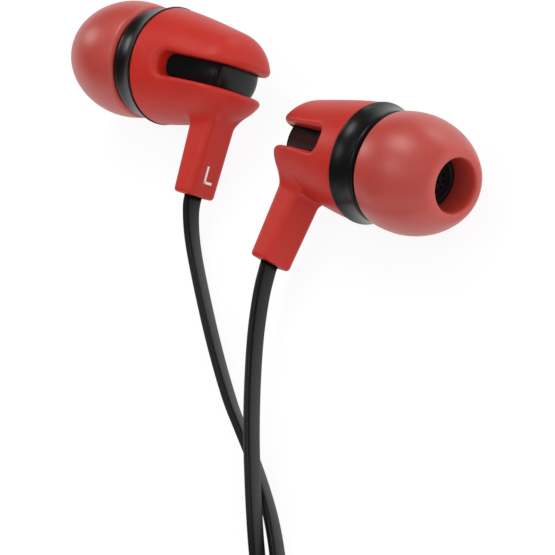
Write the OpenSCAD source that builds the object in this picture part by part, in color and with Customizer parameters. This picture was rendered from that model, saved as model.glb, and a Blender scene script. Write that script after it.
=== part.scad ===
/* [Black ring and nozzle] */
// Outer radius of the black ring
ring_r = 6.1; // [5.8:0.1:6.6]
// Width of the black ring along the bud
ring_w = 2.7; // [2.4:0.1:3.1]
// How far the ring narrows towards the tip
ring_taper = 0.45; // [0.3:0.05:0.6]
// Thickness of the wall in front of the driver
front_wall = 0.8; // [0.6:0.1:1.0]
// Length of the spigot that enters the housing
spigot_len = 1.8; // [1.4:0.1:2.2]
// Wall of the spigot
spigot_wall = 0.6; // [0.5:0.05:0.75]
// Chamfer on both edges of the ring
ring_chamfer = 0.3; // [0.1:0.05:0.5]
// Radius of the nozzle's bead
nozzle_r = 2.6; // [2.4:0.05:2.8]
// How far the nozzle's neck lies inside its bead
nozzle_undercut = 0.25; // [0.1:0.05:0.35]
// Length of the nozzle in front of the ring
nozzle_len = 5.9; // [5.2:0.1:6.4]
// Length of the nozzle's bead
bead_len = 1.2; // [0.8:0.1:1.6]
// Radius of the sound bore
sound_r = 1.8; // [1.4:0.05:2.0]

/* [Nozzle mesh] */
// How far the mesh reaches past the sound bore
mesh_seat = 0.2; // [0.15:0.05:0.25]
// Thickness of the mesh
mesh_t = 0.15; // [0.1:0.05:0.25]
// Depth of the mesh's seat in the nozzle's mouth
mesh_depth = 0.35; // [0.25:0.05:0.5]
// Radius of each hole in the mesh
mesh_hole_r = 0.16; // [0.1:0.02:0.2]

/* [Ear tip] */
// Largest radius of the silicone tip
tip_r = 6.0; // [5.8:0.1:6.5]
// Length of the silicone tip
tip_len = 8.45; // [8.0:0.05:9.0]
// Gap between the ring and the tip's rear rim
tip_gap = 0.3; // [0.2:0.05:0.5]
// Distance from the rear rim to the widest place
tip_shoulder = 2.4; // [2.0:0.1:2.8]
// How far the rear rim is drawn in
tip_draw = 0.25; // [0.1:0.05:0.4]
// Length that the dome would have if it closed on the axis
tip_dome = 7.6; // [7.3:0.1:8.4]
// Roundness of the dome, from 1 for a cone to 2 for an ellipse
tip_round = 1.9; // [1.7:0.05:2.1]
// Radius of the mouth of the tip
tip_mouth_r = 2.75; // [2.7:0.05:2.95]
// Thickness of the skirt
tip_skirt = 0.55; // [0.4:0.05:0.7]
// Wall of the tube round the nozzle
tip_core = 0.6; // [0.45:0.05:0.75]

/* [Housing] */
// Radius of the housing where it meets the ring
housing_r = 6.0; // [5.85:0.05:6.2]
// Radius where the domed back starts
waist_r = 4.7; // [4.55:0.05:5.0]
// Length from the ring to the domed back
waist_len = 8.4; // [8.0:0.1:8.9]
// Length of the domed back
dome_len = 3.35; // [3.0:0.05:3.8]
// Distance from the ring to the front end of the side slots
slot_front = 3.1; // [2.9:0.05:3.5]
// Width of the side slots
slot_w = 2.45; // [2.0:0.05:2.8]
// Radius of the slots' front corners
slot_corner = 0.85; // [0.6:0.05:0.95]
// How far the slots' middle lies below the bud's axis
slot_drop = 0.28; // [0:0.02:0.5]

/* [Stalk] */
// Distance from the ring to the stalk's middle
stalk_back = 7.8; // [7.4:0.1:8.2]
// Distance from the bud's axis to the end of the stalk
stalk_reach = 12.5; // [11.6:0.1:13.4]
// Width of the stalk at its root
stalk_root_w = 3.4; // [3.2:0.05:3.8]
// Width of the stalk at its end
stalk_end_w = 2.5; // [2.45:0.05:2.9]
// Thickness of the stalk at its root
stalk_root_t = 3.8; // [3.6:0.05:4.2]
// Thickness of the stalk at its end
stalk_end_t = 4.1; // [3.8:0.05:4.3]
// Radius of the stalk's corners
stalk_corner = 0.7; // [0.5:0.05:0.8]
// Rounding at the end of the stalk
stalk_end_round = 0.3; // [0.1:0.05:0.4]
// Length of the cord's narrow way at the stalk's end
stalk_mouth = 3.0; // [2.4:0.1:3.6]

/* [Barrel] */
// Radius of the barrel at its front
barrel_front_r = 3.75; // [3.6:0.05:3.8]
// Radius of the barrel at its back
barrel_back_r = 2.9; // [2.75:0.05:3.05]
// Distance from the ring to the back of the end cap
barrel_back = 10.2; // [10.0:0.05:10.4]
// Distance from the ring to the front of the barrel
barrel_front = 2.65; // [2.55:0.05:2.75]
// Wall of the barrel
barrel_wall = 0.5; // [0.35:0.05:0.6]
// Thickness of the end cap
cap_t = 0.9; // [0.7:0.05:1.1]
// Rounding of the end cap's edge
cap_round = 0.3; // [0.1:0.05:0.5]
// Length of the end cap's spigot
cap_spigot = 0.8; // [0.5:0.05:0.9]
// Radius of the flange that holds the barrel
flange_r = 4.25; // [4.05:0.05:4.3]
// Thickness of that flange
flange_t = 0.3; // [0.2:0.05:0.35]
// Radius of the hole for the lead wires
wire_hole_r = 0.85; // [0.75:0.05:0.95]

/* [Driver] */
// Radius of the driver
driver_r = 4.6; // [4.5:0.05:4.7]
// Thickness of the foam ring in front
foam_t = 0.25; // [0.15:0.05:0.3]
// Width of the foam ring
foam_w = 0.7; // [0.5:0.1:0.9]
// Thickness of the driver's front grille
grille_t = 0.2; // [0.15:0.05:0.25]
// Radius of each hole in the grille
grille_hole_r = 0.4; // [0.3:0.05:0.5]
// Space between the grille and the ledge of the frame
grille_gap = 0.7; // [0.65:0.05:0.8]
// Width of the frame's rim
rim_w = 0.35; // [0.3:0.05:0.45]
// Depth of the frame behind its ledge
frame_depth = 1.65; // [1.5:0.05:1.7]
// Radius of each vent in the frame
vent_r = 0.3; // [0.2:0.05:0.35]
// Thickness of the paper ring over the vents
paper_t = 0.15; // [0.1:0.05:0.2]
// Outer radius of the yoke
yoke_r = 3.6; // [3.5:0.05:3.65]
// Wall and floor of the yoke
yoke_wall = 0.4; // [0.35:0.05:0.45]
// Height of the yoke
yoke_h = 1.9; // [1.8:0.05:2.0]
// Distance from the frame's ledge back to the yoke's rim
yoke_set = 0.3; // [0.25:0.05:0.4]
// Radius of the magnet
magnet_r = 2.6; // [2.5:0.05:2.65]
// Thickness of the magnet
magnet_t = 1.0; // [0.9:0.05:1.1]
// Radius of the pole plate
pole_r = 2.7; // [2.65:0.05:2.75]
// Thickness of the pole plate
pole_t = 0.45; // [0.35:0.05:0.5]
// Clearance on each side of the voice coil
coil_gap = 0.15; // [0.12:0.01:0.18]
// Height of the voice coil
voice_h = 0.95; // [0.8:0.05:1.0]
// How far the dome's flange reaches past the voice coil
dome_lip = 0.06; // [0.04:0.01:0.08]
// Rise of the diaphragm's dome
dome_rise = 0.37; // [0.3:0.01:0.4]
// Thickness of the diaphragm
film_t = 0.08; // [0.06:0.01:0.1]
// Running gap between the dome and its surround
film_gap = 0.05; // [0.03:0.01:0.08]

/* [Terminals and strain relief] */
// Width of the terminal board
board_w = 3.4; // [3.0:0.1:3.8]
// Height of the terminal board
board_h = 1.6; // [1.4:0.1:1.8]
// Thickness of the terminal board
board_t = 0.3; // [0.25:0.05:0.35]
// Radius of each solder pad
pad_r = 0.35; // [0.25:0.05:0.4]
// Height of each solder pad
pad_t = 0.12; // [0.08:0.02:0.14]
// Radius of each lead wire
wire_r = 0.15; // [0.1:0.01:0.18]
// Distance from each wire to the bud's middle plane
wire_offset = 0.5; // [0.45:0.01:0.55]
// How far the wires run below the bud's axis
wire_drop = 2.1; // [2.0:0.02:2.2]
// Width of the anchor block in the stalk
anchor_w = 1.9; // [1.7:0.05:2.0]
// Thickness of the anchor block
anchor_t = 2.5; // [2.4:0.05:2.6]
// Height of the anchor block
anchor_h = 1.5; // [1.2:0.1:1.8]

/* [Cord] */
// Width of the flat cord
cord_w = 2.2; // [2.1:0.05:2.3]
// Thickness of the flat cord
cord_t = 0.8; // [0.75:0.01:0.82]

/* [Splitter] */
// Length of the splitter
splitter_len = 18; // [17:0.5:19]
// Width of the splitter
splitter_w = 5.0; // [4.6:0.1:5.4]
// Height of the splitter
splitter_h = 3.4; // [3.2:0.1:3.6]
// Wall of the splitter's shells
splitter_wall = 0.45; // [0.4:0.05:0.5]
// Length of the crimp inside
crimp_len = 8; // [6:0.5:9]

/* [Plug] */
// Radius of the plug's shaft
plug_r = 1.75; // [1.75:0.01:1.76]
// Length of the shaft in front of the grip
shaft_len = 14; // [13.5:0.1:14.5]
// Length of the pointed tip contact
tip_contact = 4.3; // [4.0:0.1:4.5]
// Length of the ring contact
ring_contact = 1.9; // [1.7:0.1:2.2]
// Length of each insulating band
band_len = 0.7; // [0.5:0.05:0.8]
// Radius of the rod that carries the tip contact
rod_r = 0.42; // [0.39:0.01:0.44]
// Wall of the insulating tube and of the ring contact's tube
tube_wall = 0.23; // [0.22:0.01:0.24]
// Length of the contacts inside the grip
tang_len = 6; // [5:0.5:7]
// Radius of the grip
grip_r = 3.0; // [2.9:0.05:3.2]
// Length of the grip
grip_len = 15; // [13:0.5:16]
// Length of the strain relief behind the grip
boot_len = 9; // [8:0.5:10]
// Radius of the strain relief at the cord
boot_r = 1.5; // [1.4:0.05:1.6]
// Number of grooves round the strain relief
boot_grooves = 4; // [3:1:5]

/* [Ties] */
// Width of each tie
tie_w = 5; // [4:0.5:6]
// Thickness of each tie
tie_t = 0.3; // [0.25:0.05:0.4]

/* [Fits] */
// Radial clearance of pieces that slide or are pressed together
fit = 0.05; // [0.03:0.01:0.06]

/* [Layout] */
// Left bud, sideways place of the joint between its ring and housing
left_x = -11.5; // [-12.0:0.1:-11.0]
// Left bud, lengthwise place
left_y = 10.35; // [9.9:0.05:10.9]
// Left bud, heading of its tip
left_yaw = 148.6; // [146:0.1:151]
// Left bud, roll about its own axis
left_roll = 72.4; // [71.5:0.1:75]
// Right bud, sideways place
right_x = 12.0; // [11.5:0.1:12.5]
// Right bud, lengthwise place
right_y = -10.25; // [-10.7:0.05:-9.8]
// Right bud, heading of its tip
right_yaw = -34.8; // [-37:0.1:-32]
// Right bud, roll about its own axis
right_roll = -81.4; // [-83:0.1:-79]
// How far the left tip is lifted
left_pitch = -2.6; // [-3:0.1:-2.2]
// How far the right tip is lifted
right_pitch = 3.4; // [3:0.1:3.8]

/* [Hidden] */
$fn = 96;
EPS = 0.01;

// Places along the bud, measured forwards from the joint between housing and ring
tip_back_x = ring_w + tip_gap;
tip_wide_x = tip_back_x + tip_shoulder;
tip_end_x = tip_back_x + tip_len;
nozzle_end_x = ring_w + nozzle_len;
bead_x = nozzle_end_x - bead_len;
wall_x = ring_w - front_wall;
grille_x = wall_x - foam_t - grille_t;
ledge_x = grille_x - grille_gap;
frame_x = ledge_x - frame_depth;
yoke_top_x = ledge_x - yoke_set;
yoke_x = yoke_top_x - yoke_h;
magnet_x = yoke_x + yoke_wall;
pole_x = magnet_x + magnet_t;
board_x = yoke_x - board_t;
flange_x = -barrel_front;

// Radii that follow from others
socket_r = driver_r + fit;
spigot_r = socket_r + spigot_wall;
tip_bore_r = nozzle_r + fit;
core_r = tip_bore_r + tip_core;
voice_in_r = pole_r + coil_gap;
voice_out_r = yoke_r - yoke_wall - coil_gap;
dome_r = voice_out_r + dome_lip;

// Stalk
mouth_top = stalk_reach - stalk_mouth;
anchor_top = mouth_top - anchor_h;

// Coils of cord, lying beside each other
TURN = 24;
lay_gap = 0.45;
cord_pitch = cord_t + 0.42;
layer_rise = cord_w + lay_gap;
coil_z = tie_t + fit + cord_w / 2;
pair_centre = [10.5, -71];
pair_r = 13.5;
pair_start = 180;
pair_turns = 3.75;
main_centre = [-26, -77.5];
main_r = 15.6;
main_start = 165;
main_turns = 11 + 7 / 24;
coil_dip = 1.4;

// Splitter and plug
splitter_x = -16;
splitter_y = -57.7;
pair_step = 1.3;
plug_x = -14;
plug_y = main_centre[1] - main_r;
grip_x = plug_x + boot_len;
shaft_x = grip_x + grip_len;

// ---- Placing the buds ----

// Radius of the dome's outside at place x along the bud
function dome_at(x) = tip_r * pow(1 - pow(max(x - tip_wide_x, 0) / tip_dome, tip_round), 1 / tip_round);
// Height of the bud's axis when its ring or its tip rests on the surface
function bud_height(pitch) = max(ring_r * cos(pitch) - ring_chamfer * sin(pitch),
    max([for (x = [tip_wide_x:0.05:tip_wide_x + 2]) dome_at(x) * cos(pitch) - x * sin(pitch)]));
left_pose = [[left_x, left_y, bud_height(left_pitch)], [left_roll, -left_pitch, left_yaw]];
right_pose = [[right_x, right_y, bud_height(right_pitch)], [right_roll, -right_pitch, right_yaw]];

function turn_x(p, a) = [p[0], p[1] * cos(a) - p[2] * sin(a), p[1] * sin(a) + p[2] * cos(a)];
function turn_y(p, a) = [p[0] * cos(a) + p[2] * sin(a), p[1], p[2] * cos(a) - p[0] * sin(a)];
function turn_z(p, a) = [p[0] * cos(a) - p[1] * sin(a), p[0] * sin(a) + p[1] * cos(a), p[2]];
function aimed(p, pose) = turn_z(turn_y(turn_x(p, pose[1][0]), pose[1][1]), pose[1][2]);
function placed(p, pose) = pose[0] + aimed(p, pose);

module posed(pose) {
    translate(pose[0]) rotate(pose[1]) children();
}

// A solid turned about the bud's axis, from points [radius, place along the bud]
module turned(points) {
    rotate([0, 90, 0]) rotate_extrude() polygon(points);
}

module round_bar(r, from, to) {
    translate([from, 0, 0]) rotate([0, 90, 0]) cylinder(r = r, h = to - from);
}

// ---- Ear tip ----

module ear_tip() {
    steps = 14;
    lip = 0.25;
    last = tip_end_x - lip;
    span = last - tip_wide_x;
    outside = [for (i = [0:steps]) let (x = tip_wide_x + span * i / steps) [dome_at(x), x]];
    hollow_end = tip_wide_x + span * 0.86;
    inside = [for (i = [0:steps]) let (x = hollow_end + (tip_wide_x - hollow_end) * i / steps)
        [max(dome_at(x) - tip_skirt, core_r), x]];
    color([0.76, 0.26, 0.23]) turned(concat(
        [[tip_r - tip_draw, tip_back_x]],
        outside,
        [[tip_mouth_r, tip_end_x], [tip_bore_r, tip_end_x - 3 * lip], [tip_bore_r, tip_back_x],
         [core_r, tip_back_x]],
        inside,
        [[tip_r - tip_draw - tip_skirt, tip_back_x]]));
}

// ---- Front shell: black ring, spigot and nozzle in one moulding ----

module front_shell() {
    neck_r = nozzle_r - nozzle_undercut;
    seat_r = sound_r + mesh_seat + fit;
    bead_rise = 0.35;
    bead_nose = 0.25;
    c = ring_chamfer;
    color([0.06, 0.06, 0.06]) turned([
        [socket_r, -spigot_len], [spigot_r, -spigot_len], [spigot_r, 0], [ring_r - c, 0], [ring_r, c],
        [ring_r - ring_taper, ring_w - c], [ring_r - ring_taper - c, ring_w], [neck_r, ring_w], [neck_r, bead_x],
        [nozzle_r, bead_x + bead_rise], [nozzle_r, nozzle_end_x - bead_nose],
        [nozzle_r - bead_nose, nozzle_end_x], [seat_r, nozzle_end_x], [seat_r, nozzle_end_x - mesh_depth],
        [sound_r, nozzle_end_x - mesh_depth], [sound_r, wall_x], [socket_r, wall_x]]);
}

module nozzle_mesh() {
    rows = [[0, 1, 0], [0.62, 6, 0], [1.24, 12, 15]];
    x = nozzle_end_x - mesh_depth;
    color([0.1, 0.1, 0.1]) difference() {
        round_bar(sound_r + mesh_seat, x, x + mesh_t);
        for (row = rows) for (i = [0:row[1] - 1])
            rotate([row[2] + i * 360 / row[1], 0, 0]) translate([0, row[0], 0])
                round_bar(mesh_hole_r, x - EPS, x + mesh_t + EPS, $fn = 16);
    }
}

// ---- Housing with its stalk ----

module stalk_slab(w, t, z, h) {
    for (sx = [-1, 1]) for (sy = [-1, 1])
        translate([-stalk_back + sx * (w / 2 - stalk_corner), sy * (t / 2 - stalk_corner), z])
            cylinder(r = stalk_corner, h = h, $fn = 32);
}

module stalk() {
    slab = 0.1;
    hull() {
        stalk_slab(stalk_root_w, stalk_root_t, -waist_r + 1.2, slab);
        stalk_slab(stalk_end_w, stalk_end_t, stalk_end_round - stalk_reach, slab);
        stalk_slab(stalk_end_w - 2 * stalk_end_round, stalk_end_t - 2 * stalk_end_round, -stalk_reach, slab);
    }
}

module side_slot() {
    half = slot_w / 2 - slot_corner;
    back = -waist_len - dome_len - 1;
    deep = 2 * housing_r + 2;
    translate([0, -deep / 2, -slot_drop]) {
        translate([back, 0, -slot_w / 2]) cube([-slot_front - slot_corner - back, deep, slot_w]);
        translate([back, 0, -half]) cube([-slot_front - back, deep, 2 * half]);
        for (side = [-1, 1]) translate([-slot_front - slot_corner, 0, side * half])
            rotate([-90, 0, 0]) cylinder(r = slot_corner, h = deep);
    }
}

module housing() {
    taper_steps = 6;
    dome_steps = 12;
    taper_power = 1.3;
    dome_power = 0.85;
    bore_gap = fit;
    bore_back = -barrel_back - fit;
    taper = [for (i = [0:taper_steps]) let (t = i / taper_steps)
        [housing_r - (housing_r - waist_r) * pow(t, taper_power), -t * waist_len]];
    dome = [for (i = [1:dome_steps]) let (a = 90 * i / dome_steps)
        [i < dome_steps ? waist_r * pow(cos(a), dome_power) : 0, -waist_len - dome_len * sin(a)]];
    pocket_w = anchor_w + 2 * fit;
    pocket_t = anchor_t + 2 * fit;
    pocket_h = mouth_top - barrel_back_r / 2;
    mouth_w = cord_t + 2 * fit;
    mouth_t = cord_w + 2 * fit;
    color([0.74, 0.22, 0.19]) difference() {
        union() {
            turned(concat([[0, 0]], taper, dome));
            stalk();
        }
        turned([[0, EPS], [spigot_r + fit, EPS], [spigot_r + fit, -spigot_len - fit],
            [flange_r + fit, -spigot_len - fit], [flange_r + fit, flange_x],
            [barrel_front_r + bore_gap, flange_x], [barrel_back_r + bore_gap, bore_back], [0, bore_back]]);
        side_slot();
        translate([-stalk_back - pocket_w / 2, -pocket_t / 2, -mouth_top]) cube([pocket_w, pocket_t, pocket_h]);
        translate([-stalk_back - mouth_w / 2, -mouth_t / 2, -stalk_reach - EPS])
            cube([mouth_w, mouth_t, stalk_mouth + 2 * EPS]);
    }
}

// ---- Barrel and end cap ----

// Radius of the barrel's outside at distance d behind the ring
function barrel_at(d) = barrel_front_r
    + (barrel_back_r - barrel_front_r) * (d - barrel_front) / (barrel_back - barrel_front);

module barrel() {
    end = barrel_back - cap_t;
    color([0.06, 0.06, 0.06]) difference() {
        turned([[barrel_front_r - barrel_wall, flange_x + flange_t], [flange_r, flange_x + flange_t],
            [flange_r, flange_x], [barrel_front_r, flange_x], [barrel_at(end), -end],
            [barrel_at(end) - barrel_wall, -end], [barrel_front_r - barrel_wall, flange_x]]);
        translate([-stalk_back, 0, -barrel_front_r - 1]) cylinder(r = wire_hole_r, h = barrel_front_r + 1);
    }
}

module end_cap() {
    front = barrel_back - cap_t;
    edge = barrel_at(front);
    plug_r2 = barrel_at(front) - barrel_wall - fit;
    color([0.06, 0.06, 0.06]) turned([
        [0, -front + cap_spigot], [plug_r2, -front + cap_spigot], [plug_r2, -front], [edge, -front],
        [barrel_back_r, -barrel_back + cap_round], [barrel_back_r - cap_round, -barrel_back], [0, -barrel_back]]);
}

// ---- Driver ----

module foam_ring() {
    x = wall_x - foam_t;
    color([0.3, 0.3, 0.32]) turned([[driver_r - foam_w, x], [driver_r, x], [driver_r, wall_x],
        [driver_r - foam_w, wall_x]]);
}

module driver_grille() {
    ring_holes = 8;
    ring_place = 2.2;
    color([0.8, 0.8, 0.78]) difference() {
        round_bar(driver_r, grille_x, grille_x + grille_t);
        round_bar(grille_hole_r, grille_x - EPS, grille_x + grille_t + EPS, $fn = 32);
        for (i = [0:ring_holes - 1]) rotate([i * 360 / ring_holes, 0, 0]) translate([0, ring_place, 0])
            round_bar(grille_hole_r, grille_x - EPS, grille_x + grille_t + EPS, $fn = 32);
    }
}

module driver_frame() {
    vents = 4;
    in_r = yoke_r + fit;
    vent_place = (in_r + driver_r) / 2;
    color([0.2, 0.2, 0.2]) difference() {
        turned([[in_r, frame_x], [driver_r, frame_x], [driver_r, grille_x], [driver_r - rim_w, grille_x],
            [driver_r - rim_w, ledge_x], [in_r, ledge_x]]);
        for (i = [0:vents - 1]) rotate([45 + i * 360 / vents, 0, 0]) translate([0, vent_place, 0])
            round_bar(vent_r, frame_x - EPS, ledge_x + EPS, $fn = 32);
    }
}

module surround() {
    in_r = dome_r + film_gap;
    out_r = driver_r - rim_w - fit;
    roll_r = (in_r + out_r) / 2;
    roll = 0.15;
    color([0.75, 0.72, 0.6]) turned([[in_r, ledge_x], [out_r, ledge_x], [out_r, ledge_x + film_t],
        [roll_r, ledge_x + film_t + roll], [in_r, ledge_x + film_t]]);
}

module diaphragm() {
    flat_r = voice_in_r - dome_lip;
    top = ledge_x + film_t + dome_rise;
    color([0.75, 0.72, 0.6]) turned([[0, top - film_t], [flat_r * 0.5, top - film_t - dome_rise * 0.25],
        [flat_r, ledge_x], [dome_r, ledge_x], [dome_r, ledge_x + film_t], [flat_r, ledge_x + film_t],
        [flat_r * 0.5, top - dome_rise * 0.25], [0, top]]);
}

module voice_coil() {
    color([0.72, 0.42, 0.2]) turned([[voice_in_r, ledge_x - voice_h], [voice_out_r, ledge_x - voice_h],
        [voice_out_r, ledge_x], [voice_in_r, ledge_x]]);
}

module pole_plate() {
    color([0.6, 0.6, 0.62]) round_bar(pole_r, pole_x, pole_x + pole_t);
}

module magnet() {
    color([0.45, 0.45, 0.48]) round_bar(magnet_r, magnet_x, pole_x);
}

module yoke() {
    in_r = yoke_r - yoke_wall;
    color([0.6, 0.6, 0.62]) turned([[0, yoke_x], [yoke_r, yoke_x], [yoke_r, yoke_top_x], [in_r, yoke_top_x],
        [in_r, magnet_x], [0, magnet_x]]);
}

module vent_paper() {
    color([0.9, 0.9, 0.85]) turned([[yoke_r + fit, frame_x - paper_t], [driver_r, frame_x - paper_t],
        [driver_r, frame_x], [yoke_r + fit, frame_x]]);
}

// ---- Terminals, wires and strain relief ----

module terminal_board() {
    color([0.1, 0.35, 0.15]) union() {
        translate([board_x, -board_w / 2, -wire_drop - board_h / 2]) cube([board_t, board_w, board_h]);
        for (side = [-1, 1]) translate([0, side * wire_offset, -wire_drop])
            round_bar(pad_r, board_x - pad_t, board_x, $fn = 32);
    }
}

module lead_wires() {
    start = board_x - pad_t;
    color([0.72, 0.42, 0.2]) for (side = [-1, 1]) translate([0, side * wire_offset, 0]) {
        translate([0, 0, -wire_drop]) round_bar(wire_r, -stalk_back, start, $fn = 24);
        translate([-stalk_back, 0, -wire_drop]) sphere(r = wire_r, $fn = 24);
        translate([-stalk_back, 0, -anchor_top]) cylinder(r = wire_r, h = anchor_top - wire_drop, $fn = 24);
    }
}

module strain_relief() {
    color([0.08, 0.08, 0.08]) union() {
        translate([-stalk_back - anchor_w / 2, -anchor_t / 2, -mouth_top]) cube([anchor_w, anchor_t, anchor_h]);
        translate([-stalk_back - cord_t / 2, -cord_w / 2, -stalk_reach]) cube([cord_t, cord_w, stalk_mouth + EPS]);
    }
}

// ---- Flat cord ----

function unit(v) = v / norm(v);
// Tangent at each point of a path, with the first and last given
function tangents(path, first, last) = [for (i = [0:len(path) - 1])
    i == 0 ? first : i == len(path) - 1 ? last : unit(path[i + 1] - path[i - 1])];
// Half section of the flat cord, standing on its edge: [across, up]
edge_t = cord_t / 2;
edge_w = cord_w / 2;
eight_sides = [[-edge_t, -0.72 * edge_w], [-0.5 * edge_t, -edge_w], [0.5 * edge_t, -edge_w],
    [edge_t, -0.72 * edge_w], [edge_t, 0.72 * edge_w], [0.5 * edge_t, edge_w], [-0.5 * edge_t, edge_w],
    [-edge_t, 0.72 * edge_w]];
six_sides = [[-edge_t, -0.75 * edge_w], [0, -edge_w], [edge_t, -0.75 * edge_w], [edge_t, 0.75 * edge_w],
    [0, edge_w], [-edge_t, 0.75 * edge_w]];

// One closed tube along a path, as triangles
module flat_tube(path, first, last, section) {
    n = len(path);
    m = len(section);
    along = tangents(path, first, last);
    up = [0, 0, 1];
    points = [for (i = [0:n - 1]) let (t = along[i], high = unit(up - (up * t) * t), wide = cross(high, t))
        for (s = section) path[i] + s[0] * wide + s[1] * high];
    sides = [for (i = [0:n - 2]) for (j = [0:m - 1]) let (k = (j + 1) % m)
        each [[i * m + j, i * m + k, (i + 1) * m + k], [i * m + j, (i + 1) * m + k, (i + 1) * m + j]]];
    ends = [for (j = [1:m - 2]) each [[0, j + 1, j], [(n - 1) * m, (n - 1) * m + j, (n - 1) * m + j + 1]]];
    color([0.1, 0.1, 0.1]) polyhedron(points = points, faces = concat(sides, ends), convexity = 10);
}

// A smooth curve through the chosen points, with one more point halfway between each two
function halfway(a, b, c, d) = (9 * (b + c) - (a + d)) / 16;
function smooth(path) = [for (i = [0:len(path) - 1]) each i == len(path) - 1 ? [path[i]] : [path[i],
    halfway(path[max(i - 1, 0)], path[i], path[i + 1], path[min(i + 2, len(path) - 1)])]];

// Centre line of a coil of two layers: it spirals in, climbs where it turns back, and spirals out
function ease(t) = t <= 0 ? 0 : t >= 1 ? 1 : t * t * (3 - 2 * t);
function dip_at(d) = abs(d) < 0.6 ? pow(cos(150 * d), 2) : 0;
function spiral(centre, r, step, turns, start) = [for (i = [0:round(turns * TURN)]) let (
    t = i / TURN, d = t - turns / 2, a = start + 360 * t,
    reach = r - step * min(t, turns - t) - coil_dip * dip_at(d))
    [centre[0] + reach * cos(a), centre[1] + reach * sin(a), coil_z + layer_rise * ease(2 * d + 0.5)]];
// Straight ends of one cord width, square to what they meet
function heading(start, turns) = let (a = start + 360 * turns) [-sin(a), cos(a), 0];
function with_ends(path, first, last) = concat([path[0] - cord_w * first], path,
    [path[len(path) - 1] + cord_w * last]);

pair_in = heading(pair_start, 0);
pair_out = heading(pair_start, pair_turns);
main_in = heading(main_start, 0);
main_out = heading(main_start, main_turns);
right_coil_path = with_ends(spiral(pair_centre, pair_r, 2 * cord_pitch, pair_turns, pair_start),
    pair_in, pair_out);
left_coil_path = with_ends(spiral(pair_centre, pair_r - cord_pitch, 2 * cord_pitch, pair_turns, pair_start),
    pair_in, pair_out);
main_coil_path = with_ends(spiral(main_centre, main_r, cord_pitch, main_turns, main_start),
    main_in, main_out);

// Gap between two points of cord that both stand on edge
function gap_between(a, b) = let (flat = norm([a[0] - b[0], a[1] - b[1]]), rise = abs(a[2] - b[2]))
    norm([max(flat - cord_t, 0), max(rise - cord_w, 0)]);
function least_gap(a, b, apart) = min([for (i = [0:len(a) - 1]) for (k = [apart:16]) for (d = [-2:2])
    let (j = i + k * TURN + d) if (j >= 0 && j < len(b)) gap_between(a[i], b[j])]);
echo(main_coil_gap = least_gap(main_coil_path, main_coil_path, 1));
echo(left_coil_gap = least_gap(left_coil_path, left_coil_path, 1));
echo(right_coil_gap = least_gap(right_coil_path, right_coil_path, 1));
echo(pair_gap = min(least_gap(left_coil_path, right_coil_path, 0), least_gap(right_coil_path, left_coil_path, 0)));

// Routes of the free stretches
left_exit = placed([-stalk_back, 0, -stalk_reach], left_pose);
right_exit = placed([-stalk_back, 0, -stalk_reach], right_pose);
left_down = aimed([0, 0, -1], left_pose);
right_down = aimed([0, 0, -1], right_pose);
left_route = [[-11.9, -6.2, 1.95], [-11.8, -9.4, 1.25], [-10.7, -15.2, 1.15], [-9.2, -22, 1.15],
    [-7.2, -29.3, 1.15], [-4.8, -36, 1.15], [-2.8, -43, 1.15], [-1.8, -50, 1.15], [-1.7, -58, 1.2]];
right_route = [[-2.3, -18.6, 3.5], [-3.2, -23, 3.2], [-3.6, -28.5, 3.15], [-3.5, -34.5, 3.5],
    [-3.3, -40, 3.6], [-3, -45.6, 3.6], [-3.1, -50, 2.7], [-3.1, -54.5, 1.5], [-3.05, -60, 1.35]];
pair_drop = [[2.5, 0, 0], [-3.5, 0, -0.05], [-8, 0.1, -1.2], [-12, 0.2, -2.2]];
main_route = [[-37, -58.4, 1.4], [-40.2, -61.2, 1.35], [-41, -65, 1.45]];
plug_route = [[-22, plug_y, 4.1], [-18, plug_y, 3.5]];
FORWARD = [1, 0, 0];
BACK = [-1, 0, 0];
cord_z = splitter_h / 2;

function chain(first, middle, last) = smooth(concat([first], middle, [last]));
function end_of(path) = path[len(path) - 1];

function tail_path(coil, side) = let (from = end_of(coil))
    chain(from, [for (p = pair_drop) [p[0], from[1] + side * p[1], from[2] + p[2]]],
        [splitter_x, splitter_y + side * pair_step / 2, cord_z]);
left_path = chain(left_exit, left_route, left_coil_path[0]);
right_path = chain(right_exit, right_route, right_coil_path[0]);
left_tail_path = tail_path(left_coil_path, -1);
right_tail_path = tail_path(right_coil_path, 1);
main_lead_path = chain([splitter_x - splitter_len, splitter_y, cord_z], main_route, main_coil_path[0]);
main_end_path = chain(end_of(main_coil_path), plug_route, [plug_x, plug_y, grip_r]);

function run(path) = len(path) < 2 ? 0 : let (n = len(path))
    [for (i = 0, s = 0; i < n; s = s + (i < n - 1 ? norm(path[i + 1] - path[i]) : 0), i = i + 1) s][n - 1];
echo(left_branch = run(left_path) + run(left_coil_path) + run(left_tail_path));
echo(right_branch = run(right_path) + run(right_coil_path) + run(right_tail_path));
echo(main_cord = run(main_lead_path) + run(main_coil_path) + run(main_end_path));

// ---- Splitter ----

module splitter_bar(w, h, corner, from, to) {
    for (sy = [-1, 1]) for (sz = [-1, 1])
        translate([0, sy * (w / 2 - corner), sz * (h / 2 - corner)]) rotate([0, -90, 0])
            translate([0, 0, from]) cylinder(r = corner, h = to - from, $fn = 24);
}

// Both shells together, from the forked end back along the cord
module splitter_form() {
    corner = 1.2;
    nose = 0.4;
    hull() {
        splitter_bar(splitter_w, splitter_h, corner, nose, splitter_len - nose);
        splitter_bar(splitter_w - nose, splitter_h - nose, corner, 0, splitter_len);
    }
}

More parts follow.
